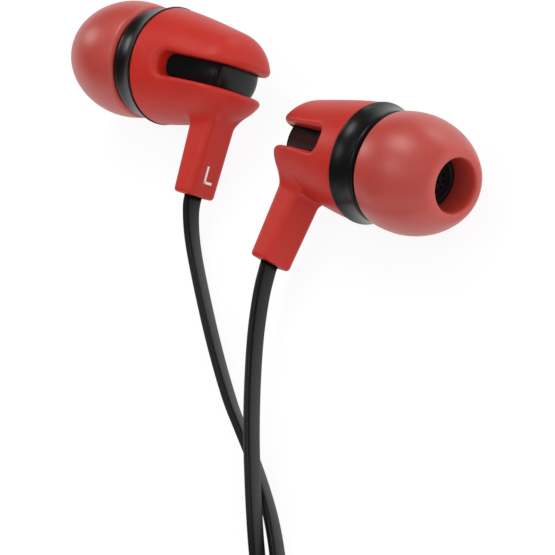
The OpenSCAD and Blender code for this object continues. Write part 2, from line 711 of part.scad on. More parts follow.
module splitter_shell(side) {
    hollow = [crimp_len + 2 * fit, splitter_w - 2 * splitter_wall, splitter_h - 2 * splitter_wall];
    color([0.08, 0.08, 0.08]) translate([splitter_x, splitter_y, cord_z]) difference() {
        splitter_form();
        translate([-splitter_len - 1, -splitter_w, side > 0 ? -splitter_h : 0])
            cube([splitter_len + 2, 2 * splitter_w, splitter_h]);
        translate([-splitter_len / 2, 0, 0]) cube(hollow, center = true);
    }
}

module splitter_crimp() {
    size = [crimp_len, splitter_w - 2 * (splitter_wall + fit), splitter_h - 2 * (splitter_wall + fit)];
    color([0.7, 0.7, 0.72]) translate([splitter_x - splitter_len / 2, splitter_y, cord_z])
        cube(size, center = true);
}

// ---- Plug ----

module on_plug() {
    translate([0, plug_y, grip_r]) children();
}

tube_r = rod_r + fit + tube_wall;
ring_tube_r = tube_r + fit + tube_wall;
sleeve_in_r = ring_tube_r + fit + tube_wall;
tang_r = plug_r - 0.22;
sleeve_end = shaft_x + shaft_len - tip_contact - ring_contact - 2 * band_len;
ring_start = sleeve_end + band_len;
ring_end = ring_start + ring_contact;
tip_start = ring_end + band_len;

module plug_boot() {
    groove = 0.35;
    pitch = boot_len / (boot_grooves + 1);
    color([0.08, 0.08, 0.08]) on_plug() difference() {
        turned([[0, plug_x], [boot_r, plug_x], [grip_r * 0.8, grip_x], [0, grip_x]]);
        for (i = [1:boot_grooves]) let (x = plug_x + i * pitch, r = boot_r + (grip_r * 0.8 - boot_r) * i / (boot_grooves + 1))
            turned([[r - groove, x], [r + 1, x - 1 - groove], [r + 1, x + 1 + groove]]);
    }
}

module plug_grip() {
    c = 0.5;
    socket = tang_len + 1;
    color([0.08, 0.08, 0.08]) on_plug() difference() {
        turned([[0, grip_x], [grip_r - 2 * c, grip_x], [grip_r, grip_x + 2 * c], [grip_r, shaft_x - c],
            [grip_r - c, shaft_x], [0, shaft_x]]);
        round_bar(tang_r + fit, shaft_x - socket, shaft_x + EPS);
    }
}

module plug_sleeve() {
    color([0.8, 0.8, 0.82]) on_plug() turned([[sleeve_in_r + fit, shaft_x - tang_len], [tang_r, shaft_x - tang_len],
        [tang_r, shaft_x], [plug_r, shaft_x], [plug_r, sleeve_end], [sleeve_in_r + fit, sleeve_end]]);
}

module plug_ring() {
    color([0.8, 0.8, 0.82]) on_plug() turned([[tube_r + fit, shaft_x - tang_len], [ring_tube_r, shaft_x - tang_len],
        [ring_tube_r, ring_start], [plug_r, ring_start], [plug_r, ring_end], [tube_r + fit, ring_end]]);
}

module plug_tip() {
    end = shaft_x + shaft_len;
    waist = 1.15;
    head = 2.4;
    head_r = plug_r - 0.25;
    color([0.8, 0.8, 0.82]) on_plug() turned([[0, shaft_x - tang_len - 0.6], [rod_r, shaft_x - tang_len - 0.6],
        [rod_r, tip_start], [plug_r, tip_start], [waist, end - head - 0.6], [waist, end - head],
        [head_r, end - head + 0.6], [head_r, end - head + 0.9], [0.3, end], [0, end]]);
}

module plug_insulators() {
    color([0.15, 0.15, 0.15]) on_plug() {
        turned([[rod_r + fit, shaft_x - tang_len], [tube_r, shaft_x - tang_len], [tube_r, ring_end],
            [plug_r, ring_end], [plug_r, tip_start], [rod_r + fit, tip_start]]);
        turned([[ring_tube_r + fit, shaft_x - tang_len], [sleeve_in_r, shaft_x - tang_len], [sleeve_in_r, sleeve_end],
            [plug_r, sleeve_end], [plug_r, ring_start], [ring_tube_r + fit, ring_start]]);
    }
}

// ---- Ties ----

// Outline of a rectangle with round corners
function rounded(x0, x1, y0, y1, r) = [for (c = [[x1 - r, y1 - r, 0], [x0 + r, y1 - r, 90],
    [x0 + r, y0 + r, 180], [x1 - r, y0 + r, 270]]) for (i = [0:5]) let (a = c[2] + 18 * i)
    [c[0] + r * cos(a), c[1] + r * sin(a)]];
// How far from the centre a coil's cord lies near one angle
function reaches(path, centre, angle) = [for (p = path) let (v = [p[0] - centre[0], p[1] - centre[1]])
    if (v * [cos(angle), sin(angle)] > 0.93 * norm(v)) norm(v)];

// A flat band round both layers of a coil
module tie(paths, centre, angle) {
    slack = 0.2;
    all = [for (path = paths) each reaches(path, centre, angle)];
    from = sqrt(pow(min(all) - cord_t / 2, 2) - pow(tie_w / 2, 2)) - slack;
    to = max(all) + cord_t / 2 + slack;
    top = coil_z + layer_rise + cord_w / 2 + slack;
    corner = 1;
    color([0.12, 0.12, 0.13]) translate([centre[0], centre[1], 0]) rotate([90, 0, angle])
        linear_extrude(height = tie_w, center = true) difference() {
            polygon(rounded(from - tie_t, to + tie_t, 0, top + tie_t, corner));
            polygon(rounded(from, to, tie_t, top, corner - tie_t));
        }
}

posed(left_pose) ear_tip();  // left_ear_tip
posed(left_pose) front_shell();  // left_front_shell
posed(left_pose) nozzle_mesh();  // left_nozzle_mesh
posed(left_pose) housing();  // left_housing
posed(left_pose) barrel();  // left_barrel
posed(left_pose) end_cap();  // left_end_cap
posed(left_pose) foam_ring();  // left_foam_ring
posed(left_pose) driver_grille();  // left_driver_grille
posed(left_pose) driver_frame();  // left_driver_frame
posed(left_pose) surround();  // left_surround
posed(left_pose) diaphragm();  // left_diaphragm
posed(left_pose) voice_coil();  // left_voice_coil
posed(left_pose) pole_plate();  // left_pole_plate
posed(left_pose) magnet();  // left_magnet
posed(left_pose) yoke();  // left_yoke
posed(left_pose) vent_paper();  // left_vent_paper
posed(left_pose) terminal_board();  // left_terminal_board
posed(left_pose) lead_wires();  // left_lead_wires
posed(left_pose) strain_relief();  // left_strain_relief
posed(right_pose) ear_tip();  // right_ear_tip
posed(right_pose) front_shell();  // right_front_shell
posed(right_pose) nozzle_mesh();  // right_nozzle_mesh
posed(right_pose) housing();  // right_housing
posed(right_pose) barrel();  // right_barrel
posed(right_pose) end_cap();  // right_end_cap
posed(right_pose) foam_ring();  // right_foam_ring
posed(right_pose) driver_grille();  // right_driver_grille
posed(right_pose) driver_frame();  // right_driver_frame
posed(right_pose) surround();  // right_surround
posed(right_pose) diaphragm();  // right_diaphragm
posed(right_pose) voice_coil();  // right_voice_coil
posed(right_pose) pole_plate();  // right_pole_plate
posed(right_pose) magnet();  // right_magnet
posed(right_pose) yoke();  // right_yoke
posed(right_pose) vent_paper();  // right_vent_paper
posed(right_pose) terminal_board();  // right_terminal_board
posed(right_pose) lead_wires();  // right_lead_wires
posed(right_pose) strain_relief();  // right_strain_relief
flat_tube(left_path, left_down, pair_in, eight_sides);  // left_cord
flat_tube(left_coil_path, pair_in, pair_out, six_sides);  // left_cord_coil
flat_tube(left_tail_path, pair_out, BACK, eight_sides);  // left_cord_tail
flat_tube(right_path, right_down, pair_in, eight_sides);  // right_cord
flat_tube(right_coil_path, pair_in, pair_out, six_sides);  // right_cord_coil
flat_tube(right_tail_path, pair_out, BACK, eight_sides);  // right_cord_tail
splitter_shell(1);  // splitter_top
splitter_shell(-1);  // splitter_bottom
splitter_crimp();
flat_tube(main_lead_path, BACK, main_in, eight_sides);  // main_cord_lead
flat_tube(main_coil_path, main_in, main_out, six_sides);  // main_cord_coil
flat_tube(main_end_path, main_out, FORWARD, eight_sides);  // main_cord_end
plug_boot();
plug_grip();
plug_sleeve();
plug_ring();
plug_tip();
plug_insulators();
tie([left_coil_path, right_coil_path], pair_centre, -45);  // pair_tie
tie([main_coil_path], main_centre, 220);  // main_tie
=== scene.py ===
import math

import bpy
import numpy as np
from mathutils import Matrix, Vector


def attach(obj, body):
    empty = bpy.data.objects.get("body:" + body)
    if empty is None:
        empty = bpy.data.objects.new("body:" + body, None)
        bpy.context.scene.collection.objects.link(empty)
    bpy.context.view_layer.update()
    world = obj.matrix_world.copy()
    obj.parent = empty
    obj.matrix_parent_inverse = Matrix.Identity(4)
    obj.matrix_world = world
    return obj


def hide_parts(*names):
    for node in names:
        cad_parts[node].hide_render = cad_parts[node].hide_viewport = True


# Lengths and places are in mm, as in the CAD source, and MM turns them into metres. The camera, the
# floor and the lamps are in metres.
MM = 0.001

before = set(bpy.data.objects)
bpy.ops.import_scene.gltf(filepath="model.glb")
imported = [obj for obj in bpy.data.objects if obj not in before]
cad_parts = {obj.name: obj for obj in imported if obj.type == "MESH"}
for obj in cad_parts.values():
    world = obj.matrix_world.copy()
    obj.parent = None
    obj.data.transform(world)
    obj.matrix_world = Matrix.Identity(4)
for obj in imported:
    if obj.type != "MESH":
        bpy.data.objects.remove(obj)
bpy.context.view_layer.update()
scene = bpy.context.scene
scene.view_settings.view_transform = "Standard"


# ---------------------------------------------------------------- camera

# From one perspective fit to both earpieces in the photograph
SENSOR, FOCAL_PX, PHOTO_PX = 36.0, 4545.0, 555.0
CAMERA_FAR = 0.45


def turned_to(right, up, back):
    m = Matrix.Identity(4)
    for row in range(3):
        m[row][0], m[row][1], m[row][2] = right[row], up[row], back[row]
    return m


back = Vector((0.4311, -0.5558, 0.7108)).normalized()
right = Vector((0.8550, 0.0, -0.5186))
right = (right - right.dot(back) * back).normalized()
up = back.cross(right)
aim = Vector((-2.70, -15.06, 0.0)) * MM
cam_data = bpy.data.cameras.new("camera")
cam_data.sensor_width = SENSOR
cam_data.lens = SENSOR * FOCAL_PX / PHOTO_PX
cam_data.clip_start = 0.01
cam_data.clip_end = 10.0
cam = bpy.data.objects.new("camera", cam_data)
scene.collection.objects.link(cam)
cam.matrix_world = Matrix.Translation(aim + back * CAMERA_FAR) @ turned_to(right, up, back)
scene.camera = cam


# ---------------------------------------------------------------- helpers

def add_mesh(name, points, faces, material, body="root", smooth=True):
    mesh = bpy.data.meshes.new(name)
    faces = [tuple(int(i) for i in f) for f in faces]
    mesh.from_pydata((np.asarray(points, float) * MM).tolist(), [], faces)
    mesh.validate()
    mesh.update()
    if smooth:
        mesh.shade_smooth()
    obj = bpy.data.objects.new(name, mesh)
    scene.collection.objects.link(obj)
    mesh.materials.append(material)
    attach(obj, body)
    return obj


def moved(points, matrix):
    m = np.array(matrix)
    return np.asarray(points, float) @ m[:3, :3].T + m[:3, 3]


def step_up(x, a, b):
    """A smooth step from 0 at a to 1 at b."""
    t = np.clip((x - a) / (b - a), 0, 1)
    return t * t * (3 - 2 * t)


def distances(line):
    """How far along the line each of its points is."""
    return np.concatenate([[0], np.cumsum(np.linalg.norm(np.diff(line, axis=0), axis=1))])


def unbent(line, pull, rounds=40):
    """The line with its turns drawn softer where pull is near 1, and as it was where pull is 0."""
    line = line.copy()
    for _ in range(rounds):
        line[1:-1] += 0.5 * pull[1:-1, None] * ((line[:-2] + line[2:]) / 2 - line[1:-1])
    return line


# ---------------------------------------------------------------- where the earpieces lie

# As in the CAD source. In an earpiece's own frame x runs from the housing's front edge toward the
# ear, and -z runs down its stalk.
RING_R, RING_W, RING_TAPER, RING_CHAMFER, NOZZLE_END = 6.1, 2.7, 0.45, 0.3, 8.6
TIP_R, TIP_BACK_X, TIP_WIDE_X, TIP_END_X = 6.0, 3.0, 5.4, 11.45
TIP_DOME, TIP_ROUND = 7.6, 1.9
STALK_BACK, STALK_REACH = 7.8, 12.5
REST_STEP, REST_TRIES = 0.05, 41


def dome_at(x):
    """The tip's radius at x."""
    t = max(x - TIP_WIDE_X, 0) / TIP_DOME
    return TIP_R * (1 - t ** TIP_ROUND) ** (1 / TIP_ROUND)


def bud_height(pitch):
    """Height of a bud's axis when its ring or its tip rests on the surface."""
    c, s = math.cos(math.radians(pitch)), math.sin(math.radians(pitch))
    places = [TIP_WIDE_X + REST_STEP * i for i in range(REST_TRIES)]
    return max([RING_R * c - RING_CHAMFER * s] + [dome_at(x) * c - x * s for x in places])


def bud_pose(x, y, roll, pitch, yaw):
    """Where an earpiece lies on the table, with its turns in degrees."""
    return (Matrix.Translation(Vector((x, y, bud_height(pitch))))
            @ Matrix.Rotation(math.radians(yaw), 4, "Z")
            @ Matrix.Rotation(-math.radians(pitch), 4, "Y")
            @ Matrix.Rotation(math.radians(roll), 4, "X"))


LEFT = bud_pose(-11.5, 10.35, roll=72.4, pitch=-2.6, yaw=148.6)
RIGHT = bud_pose(12.0, -10.25, roll=-81.4, pitch=3.4, yaw=-34.8)


# ---------------------------------------------------------------- the cords' routes

# As in the CAD source
CORD_W, CORD_T, CORD_EDGE = 2.2, 0.8, 0.3
TIE_T, TIE_PLAY = 0.3, 0.05
COIL_GAP, LAYER_GAP = 0.42, 0.45
CORD_PITCH = CORD_T + COIL_GAP
LAYER_RISE = CORD_W + LAYER_GAP
COIL_Z = TIE_T + TIE_PLAY + CORD_W / 2
TURN = 24                         # points in a coil's turn
COIL_DIP, DIP_HALF = 1.4, 0.6     # a coil's middle dips inward, over this part of a turn either way
RISE_HALF = 0.25                  # and rises to its upper layer over this part
PAIR = {"centre": (10.5, -71.0), "r": 13.5, "turns": 3.75, "start": 180}
MAIN = {"centre": (-26.0, -77.5), "r": 15.6, "turns": 11 + 7 / 24, "start": 165}
SPLIT_X, SPLIT_Y, SPLIT_LEN, SPLIT_Z = -16.0, -57.7, 18.0, 1.7
BRANCH_APART = 0.65               # from the splitter's middle line to a branch's
PLUG_X, PLUG_Y, PLUG_Z = -14.0, MAIN["centre"][1] - MAIN["r"], 3.0
LEFTWARD, RIGHTWARD = np.array([-1, 0, 0.0]), np.array([1.0, 0, 0])


def spiral(centre, r, step, turns, start):
    """In along the lower layer and out along the upper one, closer by step in each turn."""
    out = []
    for i in range(round(turns * TURN) + 1):
        t = i / TURN
        d = t - turns / 2
        a = math.radians(start + 360 * t)
        dip = math.cos(math.radians(90 * d / DIP_HALF)) ** 2 if abs(d) < DIP_HALF else 0.0
        reach = r - step * min(t, turns - t) - COIL_DIP * dip
        out.append(np.array((centre[0] + reach * math.cos(a), centre[1] + reach * math.sin(a),
                             COIL_Z + LAYER_RISE * step_up(d, -RISE_HALF, RISE_HALF))))
    return out


def heading(start, turns):
    a = math.radians(start + 360 * turns)
    return np.array([-math.sin(a), math.cos(a), 0.0])


def coil(centre, r, turns, start, step, inset=0.0):
    """A coil's middle line, with a straight end as long as the cord is wide at both ends."""
    path = spiral(centre, r - inset, step, turns, start)
    return ([path[0] - CORD_W * heading(start, 0)] + path
            + [path[-1] + CORD_W * heading(start, turns)])


right_coil = coil(**PAIR, step=2 * CORD_PITCH)
left_coil = coil(**PAIR, step=2 * CORD_PITCH, inset=CORD_PITCH)
main_coil = coil(**MAIN, step=CORD_PITCH)

left_exit = np.array(LEFT @ Vector((-STALK_BACK, 0, -STALK_REACH)))
right_exit = np.array(RIGHT @ Vector((-STALK_BACK, 0, -STALK_REACH)))
left_down = np.array(LEFT.to_3x3() @ Vector((0, 0, -1)))
right_down = np.array(RIGHT.to_3x3() @ Vector((0, 0, -1)))
left_route = [(-11.9, -6.2, 1.95), (-11.8, -9.4, 1.25), (-10.7, -15.2, 1.15), (-9.2, -22, 1.15),
              (-7.2, -29.3, 1.15), (-4.8, -36, 1.15), (-2.8, -43, 1.15), (-1.8, -50, 1.15),
              (-1.7, -58, 1.2)]
right_route = [(-2.3, -18.6, 3.5), (-3.2, -23, 3.2), (-3.6, -28.5, 3.15), (-3.5, -34.5, 3.5),
               (-3.3, -40, 3.6), (-3, -45.6, 3.6), (-3.1, -50, 2.7), (-3.1, -54.5, 1.5),
               (-3.05, -60, 1.35)]
# x, and how far aside and up from the coil's end
pair_drop = [(2.5, 0, 0), (-3.5, 0, -0.05), (-8, 0.1, -1.2), (-12, 0.2, -2.2)]
main_route = [(-37, -58.4, 1.4), (-40.2, -61.2, 1.35), (-41, -65, 1.45)]
plug_route = [(-22, PLUG_Y, 4.1), (-18, PLUG_Y, 3.5)]


def smooth(path):
    """The path with one more point between each two, on a smooth curve through them."""
    out = []
    n = len(path)
    for i in range(n):
        out.append(path[i])
        if i < n - 1:
            a, b, c, d = path[max(i - 1, 0)], path[i], path[i + 1], path[min(i + 2, n - 1)]
            out.append((9 * (b + c) - (a + d)) / 16)
    return out


def chain(first, middle, last):
    return smooth([np.array(p, float) for p in [first] + list(middle) + [last]])


def tail(end, side):
    """From a branch's coil down into the splitter."""
    middle = [(p[0], end[1] + side * p[1], end[2] + p[2]) for p in pair_drop]
    return chain(end, middle, (SPLIT_X, SPLIT_Y + side * BRANCH_APART, SPLIT_Z))


def joined(*parts):
    out = list(parts[0])
    for part in parts[1:]:
        out += list(part)[1:]
    return np.array(out)


left_path = joined(chain(left_exit, left_route, left_coil[0]), left_coil, tail(left_coil[-1], -1))
right_path = joined(chain(right_exit, right_route, right_coil[0]), right_coil,
                    tail(right_coil[-1], 1))
main_path = joined(chain((SPLIT_X - SPLIT_LEN, SPLIT_Y, SPLIT_Z), main_route, main_coil[0]),
                   main_coil, chain(main_coil[-1], plug_route, (PLUG_X, PLUG_Y, PLUG_Z)))


def refined(path, step, first, last):
    """The curve through the path's points that starts along first and ends along last."""
    n = len(path)
    lengths = np.linalg.norm(np.diff(path, axis=0), axis=1)
    slopes = np.zeros_like(path)
    for i in range(1, n - 1):
        d = path[i + 1] - path[i - 1]
        slopes[i] = d / np.linalg.norm(d)
    slopes[0], slopes[-1] = first, last
    out = []
    for i in range(n - 1):
        m = max(int(round(lengths[i] / step)), 1)
        for k in range(m):
            t = k / m
            h = [2 * t**3 - 3 * t**2 + 1, t**3 - 2 * t**2 + t, -2 * t**3 + 3 * t**2, t**3 - t**2]
            out.append(h[0] * path[i] + h[1] * lengths[i] * slopes[i]
                       + h[2] * path[i + 1] + h[3] * lengths[i] * slopes[i + 1])
    out.append(path[-1])
    return np.array(out)


def eased(path, lo, hi, rise=2.0, fall=6.0):
    """The path with its turns between the two distances from its start drawn softer."""
    far = distances(path)
    return unbent(path, np.clip((far - lo) / rise, 0, 1) * np.clip((hi - far) / fall, 0, 1))


def flat_section(w, t, r, n=3):
    """A flat cord's outline, with n steps round each edge."""
    out = []
    for cx, cy, a0 in ((t / 2 - r, w / 2 - r, 0), (-t / 2 + r, w / 2 - r, 90),
                       (-t / 2 + r, -w / 2 + r, 180), (t / 2 - r, -w / 2 + r, 270)):
        for k in range(n + 1):
            a = math.radians(a0 + 90 * k / n)
            out.append((cx + r * math.cos(a), cy + r * math.sin(a)))
    return np.array(out)


def swept(name, path, first, last, material, step=0.55, soft=None):
    """A flat cord that stands on edge along the path; also the points that it follows."""
    path = refined(path, step, first, last)
    if soft:
        path = eased(path, *soft)
    n = len(path)
    along = np.gradient(path, axis=0)
    along[0], along[-1] = first, last
    along /= np.linalg.norm(along, axis=1)[:, None]
    high = np.array([0, 0, 1.0]) - along[:, 2:3] * along
    high /= np.linalg.norm(high, axis=1)[:, None]
    wide = np.cross(high, along)
    ring = flat_section(CORD_W, CORD_T, CORD_EDGE)
    m = len(ring)
    points = (path[:, None, :] + ring[None, :, 0:1] * wide[:, None, :]
              + ring[None, :, 1:2] * high[:, None, :]).reshape(-1, 3)
    faces = []
    for i in range(n - 1):
        for j in range(m):
            k = (j + 1) % m
            faces.append((i * m + j, (i + 1) * m + j, (i + 1) * m + k, i * m + k))
    faces.append(tuple(range(m)))
    faces.append(tuple((n - 1) * m + j for j in reversed(range(m))))
    return add_mesh(name, points, faces, material), path


# ---------------------------------------------------------------- materials

def add_node(tree, kind, **inputs):
    """A new node with these inputs set; an underscore stands for a space."""
    node = tree.nodes.new("ShaderNode" + kind)
    for key, value in inputs.items():
        node.inputs[key.replace("_", " ")].default_value = value
    return node


def principled(name, colors, roughness, noise=0.0, noise_scale=400.0, bump=0.0, bump_scale=3000.0,
               **inputs):
    """A shader whose colour, roughness and surface vary a little, as moulded parts do.

    colors are the darkest and the lightest; noise is how far the roughness goes either way, bump is
    a height in mm, and the scales are per metre."""
    mat = bpy.data.materials.new(name)
    mat.use_nodes = True
    tree = mat.node_tree
    shader = tree.nodes["Principled BSDF"]
    coords = add_node(tree, "TexCoord")
    mottle = add_node(tree, "TexNoise", Scale=noise_scale, Detail=3.0)
    ramp = add_node(tree, "ValToRGB")
    for stop, position, color in zip(ramp.color_ramp.elements, (0.3, 0.7), colors):
        stop.position = position
        stop.color = (*color, 1)
    tree.links.new(coords.outputs["Object"], mottle.inputs["Vector"])
    tree.links.new(mottle.outputs["Fac"], ramp.inputs["Fac"])
    tree.links.new(ramp.outputs["Color"], shader.inputs["Base Color"])
    shader.inputs["Roughness"].default_value = roughness
    if noise:
        cloud = add_node(tree, "TexNoise", Scale=noise_scale, Detail=4.0)
        spread = add_node(tree, "MapRange", To_Min=roughness - noise, To_Max=roughness + noise)
        tree.links.new(coords.outputs["Object"], cloud.inputs["Vector"])
        tree.links.new(cloud.outputs["Fac"], spread.inputs["Value"])
        tree.links.new(spread.outputs["Result"], shader.inputs["Roughness"])
    if bump:
        grain = add_node(tree, "TexNoise", Scale=bump_scale, Detail=4.0)
        lift = add_node(tree, "Bump", Strength=1.0, Distance=bump * MM)
        tree.links.new(coords.outputs["Object"], grain.inputs["Vector"])
        tree.links.new(grain.outputs["Fac"], lift.inputs["Height"])
        tree.links.new(lift.outputs["Normal"], shader.inputs["Normal"])
    for key, value in inputs.items():
        shader.inputs[key.replace("_", " ")].default_value = value
    return mat


def metal(name, color, roughness, **inputs):
    lighter = tuple(min(c * 1.06, 1.0) for c in color)
    return principled(name, (color, lighter), roughness, noise=0.05, noise_scale=900.0, bump=0.002,
                      bump_scale=6000.0, Metallic=1.0, **inputs)


RED = principled("housing_red", ((0.465, 0.017, 0.009), (0.495, 0.020, 0.011)), 0.44, noise=0.03,
                 bump=0.004, Specular_IOR_Level=0.32)
SILICONE = principled("tip_silicone", ((0.445, 0.043, 0.031), (0.475, 0.049, 0.035)), 0.40,
                      noise=0.03, bump=0.004, Specular_IOR_Level=0.8, Subsurface_Weight=0.3,
                      Subsurface_Radius=(3.0, 0.5, 0.4), Subsurface_Scale=MM)
GLOSS = principled("black_gloss", ((0.004, 0.004, 0.004), (0.006, 0.006, 0.006)), 0.30, noise=0.03,
                   Specular_IOR_Level=0.28)
CORD = principled("cord_jacket", ((0.003, 0.0032, 0.0032), (0.005, 0.0055, 0.0055)), 0.45,
                  noise=0.05, bump=0.006, Specular_IOR_Level=0.2)
MATTE = principled("black_matte", ((0.010, 0.010, 0.010), (0.016, 0.016, 0.016)), 0.5, noise=0.05,
                   bump=0.01)
PRINT = principled("white_print", ((0.82, 0.80, 0.78), (0.86, 0.85, 0.83)), 0.5, noise=0.03)
TIE = principled("tie_rubber", ((0.016, 0.016, 0.018), (0.024, 0.024, 0.026)), 0.6, noise=0.05,
                 bump=0.02)
CONTACT = metal("nickel_contact", (0.72, 0.71, 0.69), 0.18)
STEEL = metal("plated_steel", (0.55, 0.55, 0.57), 0.32)
MAGNET = metal("nickel_magnet", (0.45, 0.45, 0.48), 0.2)
COPPER = metal("enamelled_copper", (0.70, 0.32, 0.16), 0.3, Coat_Weight=0.6)
CRIMP = metal("pressed_crimp", (0.66, 0.66, 0.68), 0.35)
MESH = metal("blackened_mesh", (0.02, 0.02, 0.02), 0.55)
FOAM = principled("open_foam", ((0.05, 0.05, 0.055), (0.12, 0.12, 0.13)), 0.9, noise_scale=9000.0,
                  bump=0.05, bump_scale=9000.0)
FILM = principled("thin_film", ((0.50, 0.47, 0.36), (0.56, 0.53, 0.41)), 0.25, noise=0.05,
                  bump=0.004)
PAPER = principled("fibre_paper", ((0.74, 0.74, 0.68), (0.84, 0.84, 0.78)), 0.85, noise=0.05,
                   noise_scale=5000.0, bump=0.01, bump_scale=8000.0)
BOARD = principled("solder_mask", ((0.04, 0.17, 0.06), (0.05, 0.21, 0.08)), 0.3, noise=0.04,
                   bump=0.003)
BAND = principled("insulator", ((0.018, 0.018, 0.018), (0.028, 0.028, 0.028)), 0.4, noise=0.04,
                  bump=0.004)

# The CAD nodes that stay as they are
CARRIED = {"nozzle_mesh": MESH, "foam_ring": FOAM, "driver_grille": STEEL, "driver_frame": MATTE,
           "surround": FILM, "diaphragm": FILM, "voice_coil": COPPER, "pole_plate": STEEL,
           "magnet": MAGNET, "yoke": STEEL, "vent_paper": PAPER, "terminal_board": BOARD,
           "lead_wires": COPPER, "strain_relief": CORD}
finishes = {side + "_" + part: finish for part, finish in CARRIED.items()
            for side in ("left", "right")}
finishes["splitter_crimp"] = CRIMP
for node, finish in finishes.items():
    mesh = bpy.data.objects[node].data
    mesh.materials.clear()
    mesh.materials.append(finish)


# ---------------------------------------------------------------- cords

# The left cord's turn below its stalk is softer, between these two distances from the stalk
LEFT_SOFT = 1.0, 26.0

left_cord, left_line = swept("left_branch", left_path, left_down, LEFTWARD, CORD, soft=LEFT_SOFT)
right_cord, right_line = swept("right_branch", right_path, right_down, LEFTWARD, CORD)
main_cord, main_line = swept("main_cord", main_path, LEFTWARD, RIGHTWARD, CORD)
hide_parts("left_cord", "left_cord_coil", "left_cord_tail")
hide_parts("right_cord", "right_cord_coil", "right_cord_tail")
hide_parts("main_cord_lead", "main_cord_coil", "main_cord_end")


# ---------------------------------------------------------------- solids as distance fields

def profile_field(outline, step=0.05, margin=3.0):
    """Signed distance to a closed outline of (x, r) points, looked up on a fine grid."""
    outline = np.array(outline, float)
    lo = outline.min(0) - margin
    hi = outline.max(0) + margin
    nx, nr = (int(math.ceil((hi[i] - lo[i]) / step)) + 1 for i in range(2))
    gx, gr = np.meshgrid(lo[0] + step * np.arange(nx), lo[1] + step * np.arange(nr),
                         indexing="ij")
    best = np.full(gx.shape, 1e9)
    inside = np.zeros(gx.shape, bool)
    for a, b in zip(outline, np.roll(outline, -1, 0)):
        e = b - a
        t = np.clip(((gx - a[0]) * e[0] + (gr - a[1]) * e[1]) / (e @ e), 0, 1)
        best = np.minimum(best, (gx - a[0] - t * e[0]) ** 2 + (gr - a[1] - t * e[1]) ** 2)
        if a[1] != b[1]:
            crosses = (a[1] > gr) != (b[1] > gr)
            at = a[0] + (gr - a[1]) * (b[0] - a[0]) / (b[1] - a[1])
            inside ^= crosses & (gx < at)
    table = np.sqrt(best) * np.where(inside, -1, 1)

    def field(x, r):
        u = np.clip((x - lo[0]) / step, 0, nx - 1.001)
        v = np.clip((np.maximum(r, 0.0) - lo[1]) / step, 0, nr - 1.001)
        i, j = u.astype(int), v.astype(int)
        u, v = u - i, v - j
        return ((1 - u) * (1 - v) * table[i, j] + u * (1 - v) * table[i + 1, j]
                + (1 - u) * v * table[i, j + 1] + u * v * table[i + 1, j + 1])
    return field


def both(a, b, r):
    """Inside a and inside b, with the edge between them rounded by r."""
    return (np.minimum(-r, np.maximum(a, b))
            + np.sqrt(np.maximum(r + a, 0) ** 2 + np.maximum(r + b, 0) ** 2))


def either(a, b, r):
    """Inside a or inside b, with the corner between them filled by r."""
    return (np.maximum(r, np.minimum(a, b))
            - np.sqrt(np.maximum(r - a, 0) ** 2 + np.maximum(r - b, 0) ** 2))


def corner_field(a, b, corner):
    """Inside a and inside b, two sides at right angles, with a true arc of this radius between."""
    a, b = a + corner, b + corner
    return (np.sqrt(np.maximum(a, 0) ** 2 + np.maximum(b, 0) ** 2)
            + np.minimum(np.maximum(a, b), 0) - corner)


def surface_nets(field, lo, hi, h):
    """Points and four-sided faces of the surface where field is 0, from cubes of side h."""
    lo, hi = np.array(lo, float), np.array(hi, float)
    n = np.ceil((hi - lo) / h).astype(int) + 1
    axes = [lo[i] + h * np.arange(n[i]) for i in range(3)]
    grid = np.stack(np.meshgrid(*axes, indexing="ij"), -1)
    f = field(grid)
    total = np.zeros((*(n - 1), 3))
    count = np.zeros(tuple(n - 1))
    crossings = []
    for axis in range(3):
        a = np.take(f, range(n[axis] - 1), axis)
        b = np.take(f, range(1, n[axis]), axis)
        hit = (a < 0) != (b < 0)
        crossings.append((hit, a < 0))
        t = np.where(hit, a / np.where(a == b, 1, a - b), 0)
        start = np.take(grid, range(n[axis] - 1), axis).copy()
        start[..., axis] += t * h
        start *= hit[..., None]
        o0, o1 = [i for i in range(3) if i != axis]
        for s0 in (0, 1):
            for s1 in (0, 1):
                part = [slice(None)] * 3
                part[o0] = slice(s0, n[o0] - 1 + s0)
                part[o1] = slice(s1, n[o1] - 1 + s1)
                total += start[tuple(part)]
                count += hit[tuple(part)]
    used = count > 0
    index = np.full(tuple(n - 1), -1)
    index[used] = np.arange(used.sum())
    points = total[used] / count[used][:, None]
    faces = []
    for axis in range(3):
        hit, inside = crossings[axis]
        o0, o1 = [(1, 2), (2, 0), (0, 1)][axis]
        part = [slice(None)] * 3
        part[o0], part[o1] = slice(1, n[o0] - 1), slice(1, n[o1] - 1)
        where = np.argwhere(hit[tuple(part)])
        flip = inside[tuple(part)][tuple(where.T)]
        where[:, o0] += 1
        where[:, o1] += 1
        quad = []
        for d0, d1 in ((-1, -1), (0, -1), (0, 0), (-1, 0)):
            c = where.copy()
            c[:, o0] += d0
            c[:, o1] += d1
            quad.append(index[tuple(c.T)])
        quad = np.stack(quad, 1)
        quad[~flip] = quad[~flip][:, ::-1]
        faces.append(quad)
    return points, np.concatenate(faces)


def settle(field, points, rounds=4, reach=0.12, probe=0.01, flattest=0.05):
    """Draw points onto the surface along its slope, by no more than reach."""
    start = points.copy()
    for _ in range(rounds):
        f = field(points)
        slope = np.stack([field(points + d) - field(points - d) for d in np.eye(3) * probe], -1)
        slope /= 2 * probe
        size = np.maximum((slope ** 2).sum(-1), flattest)
        points = points - (f / size)[:, None] * slope
        away = points - start
        far = np.linalg.norm(away, axis=1)
        points = start + away * np.minimum(1, reach / np.maximum(far, 1e-9))[:, None]
    return points


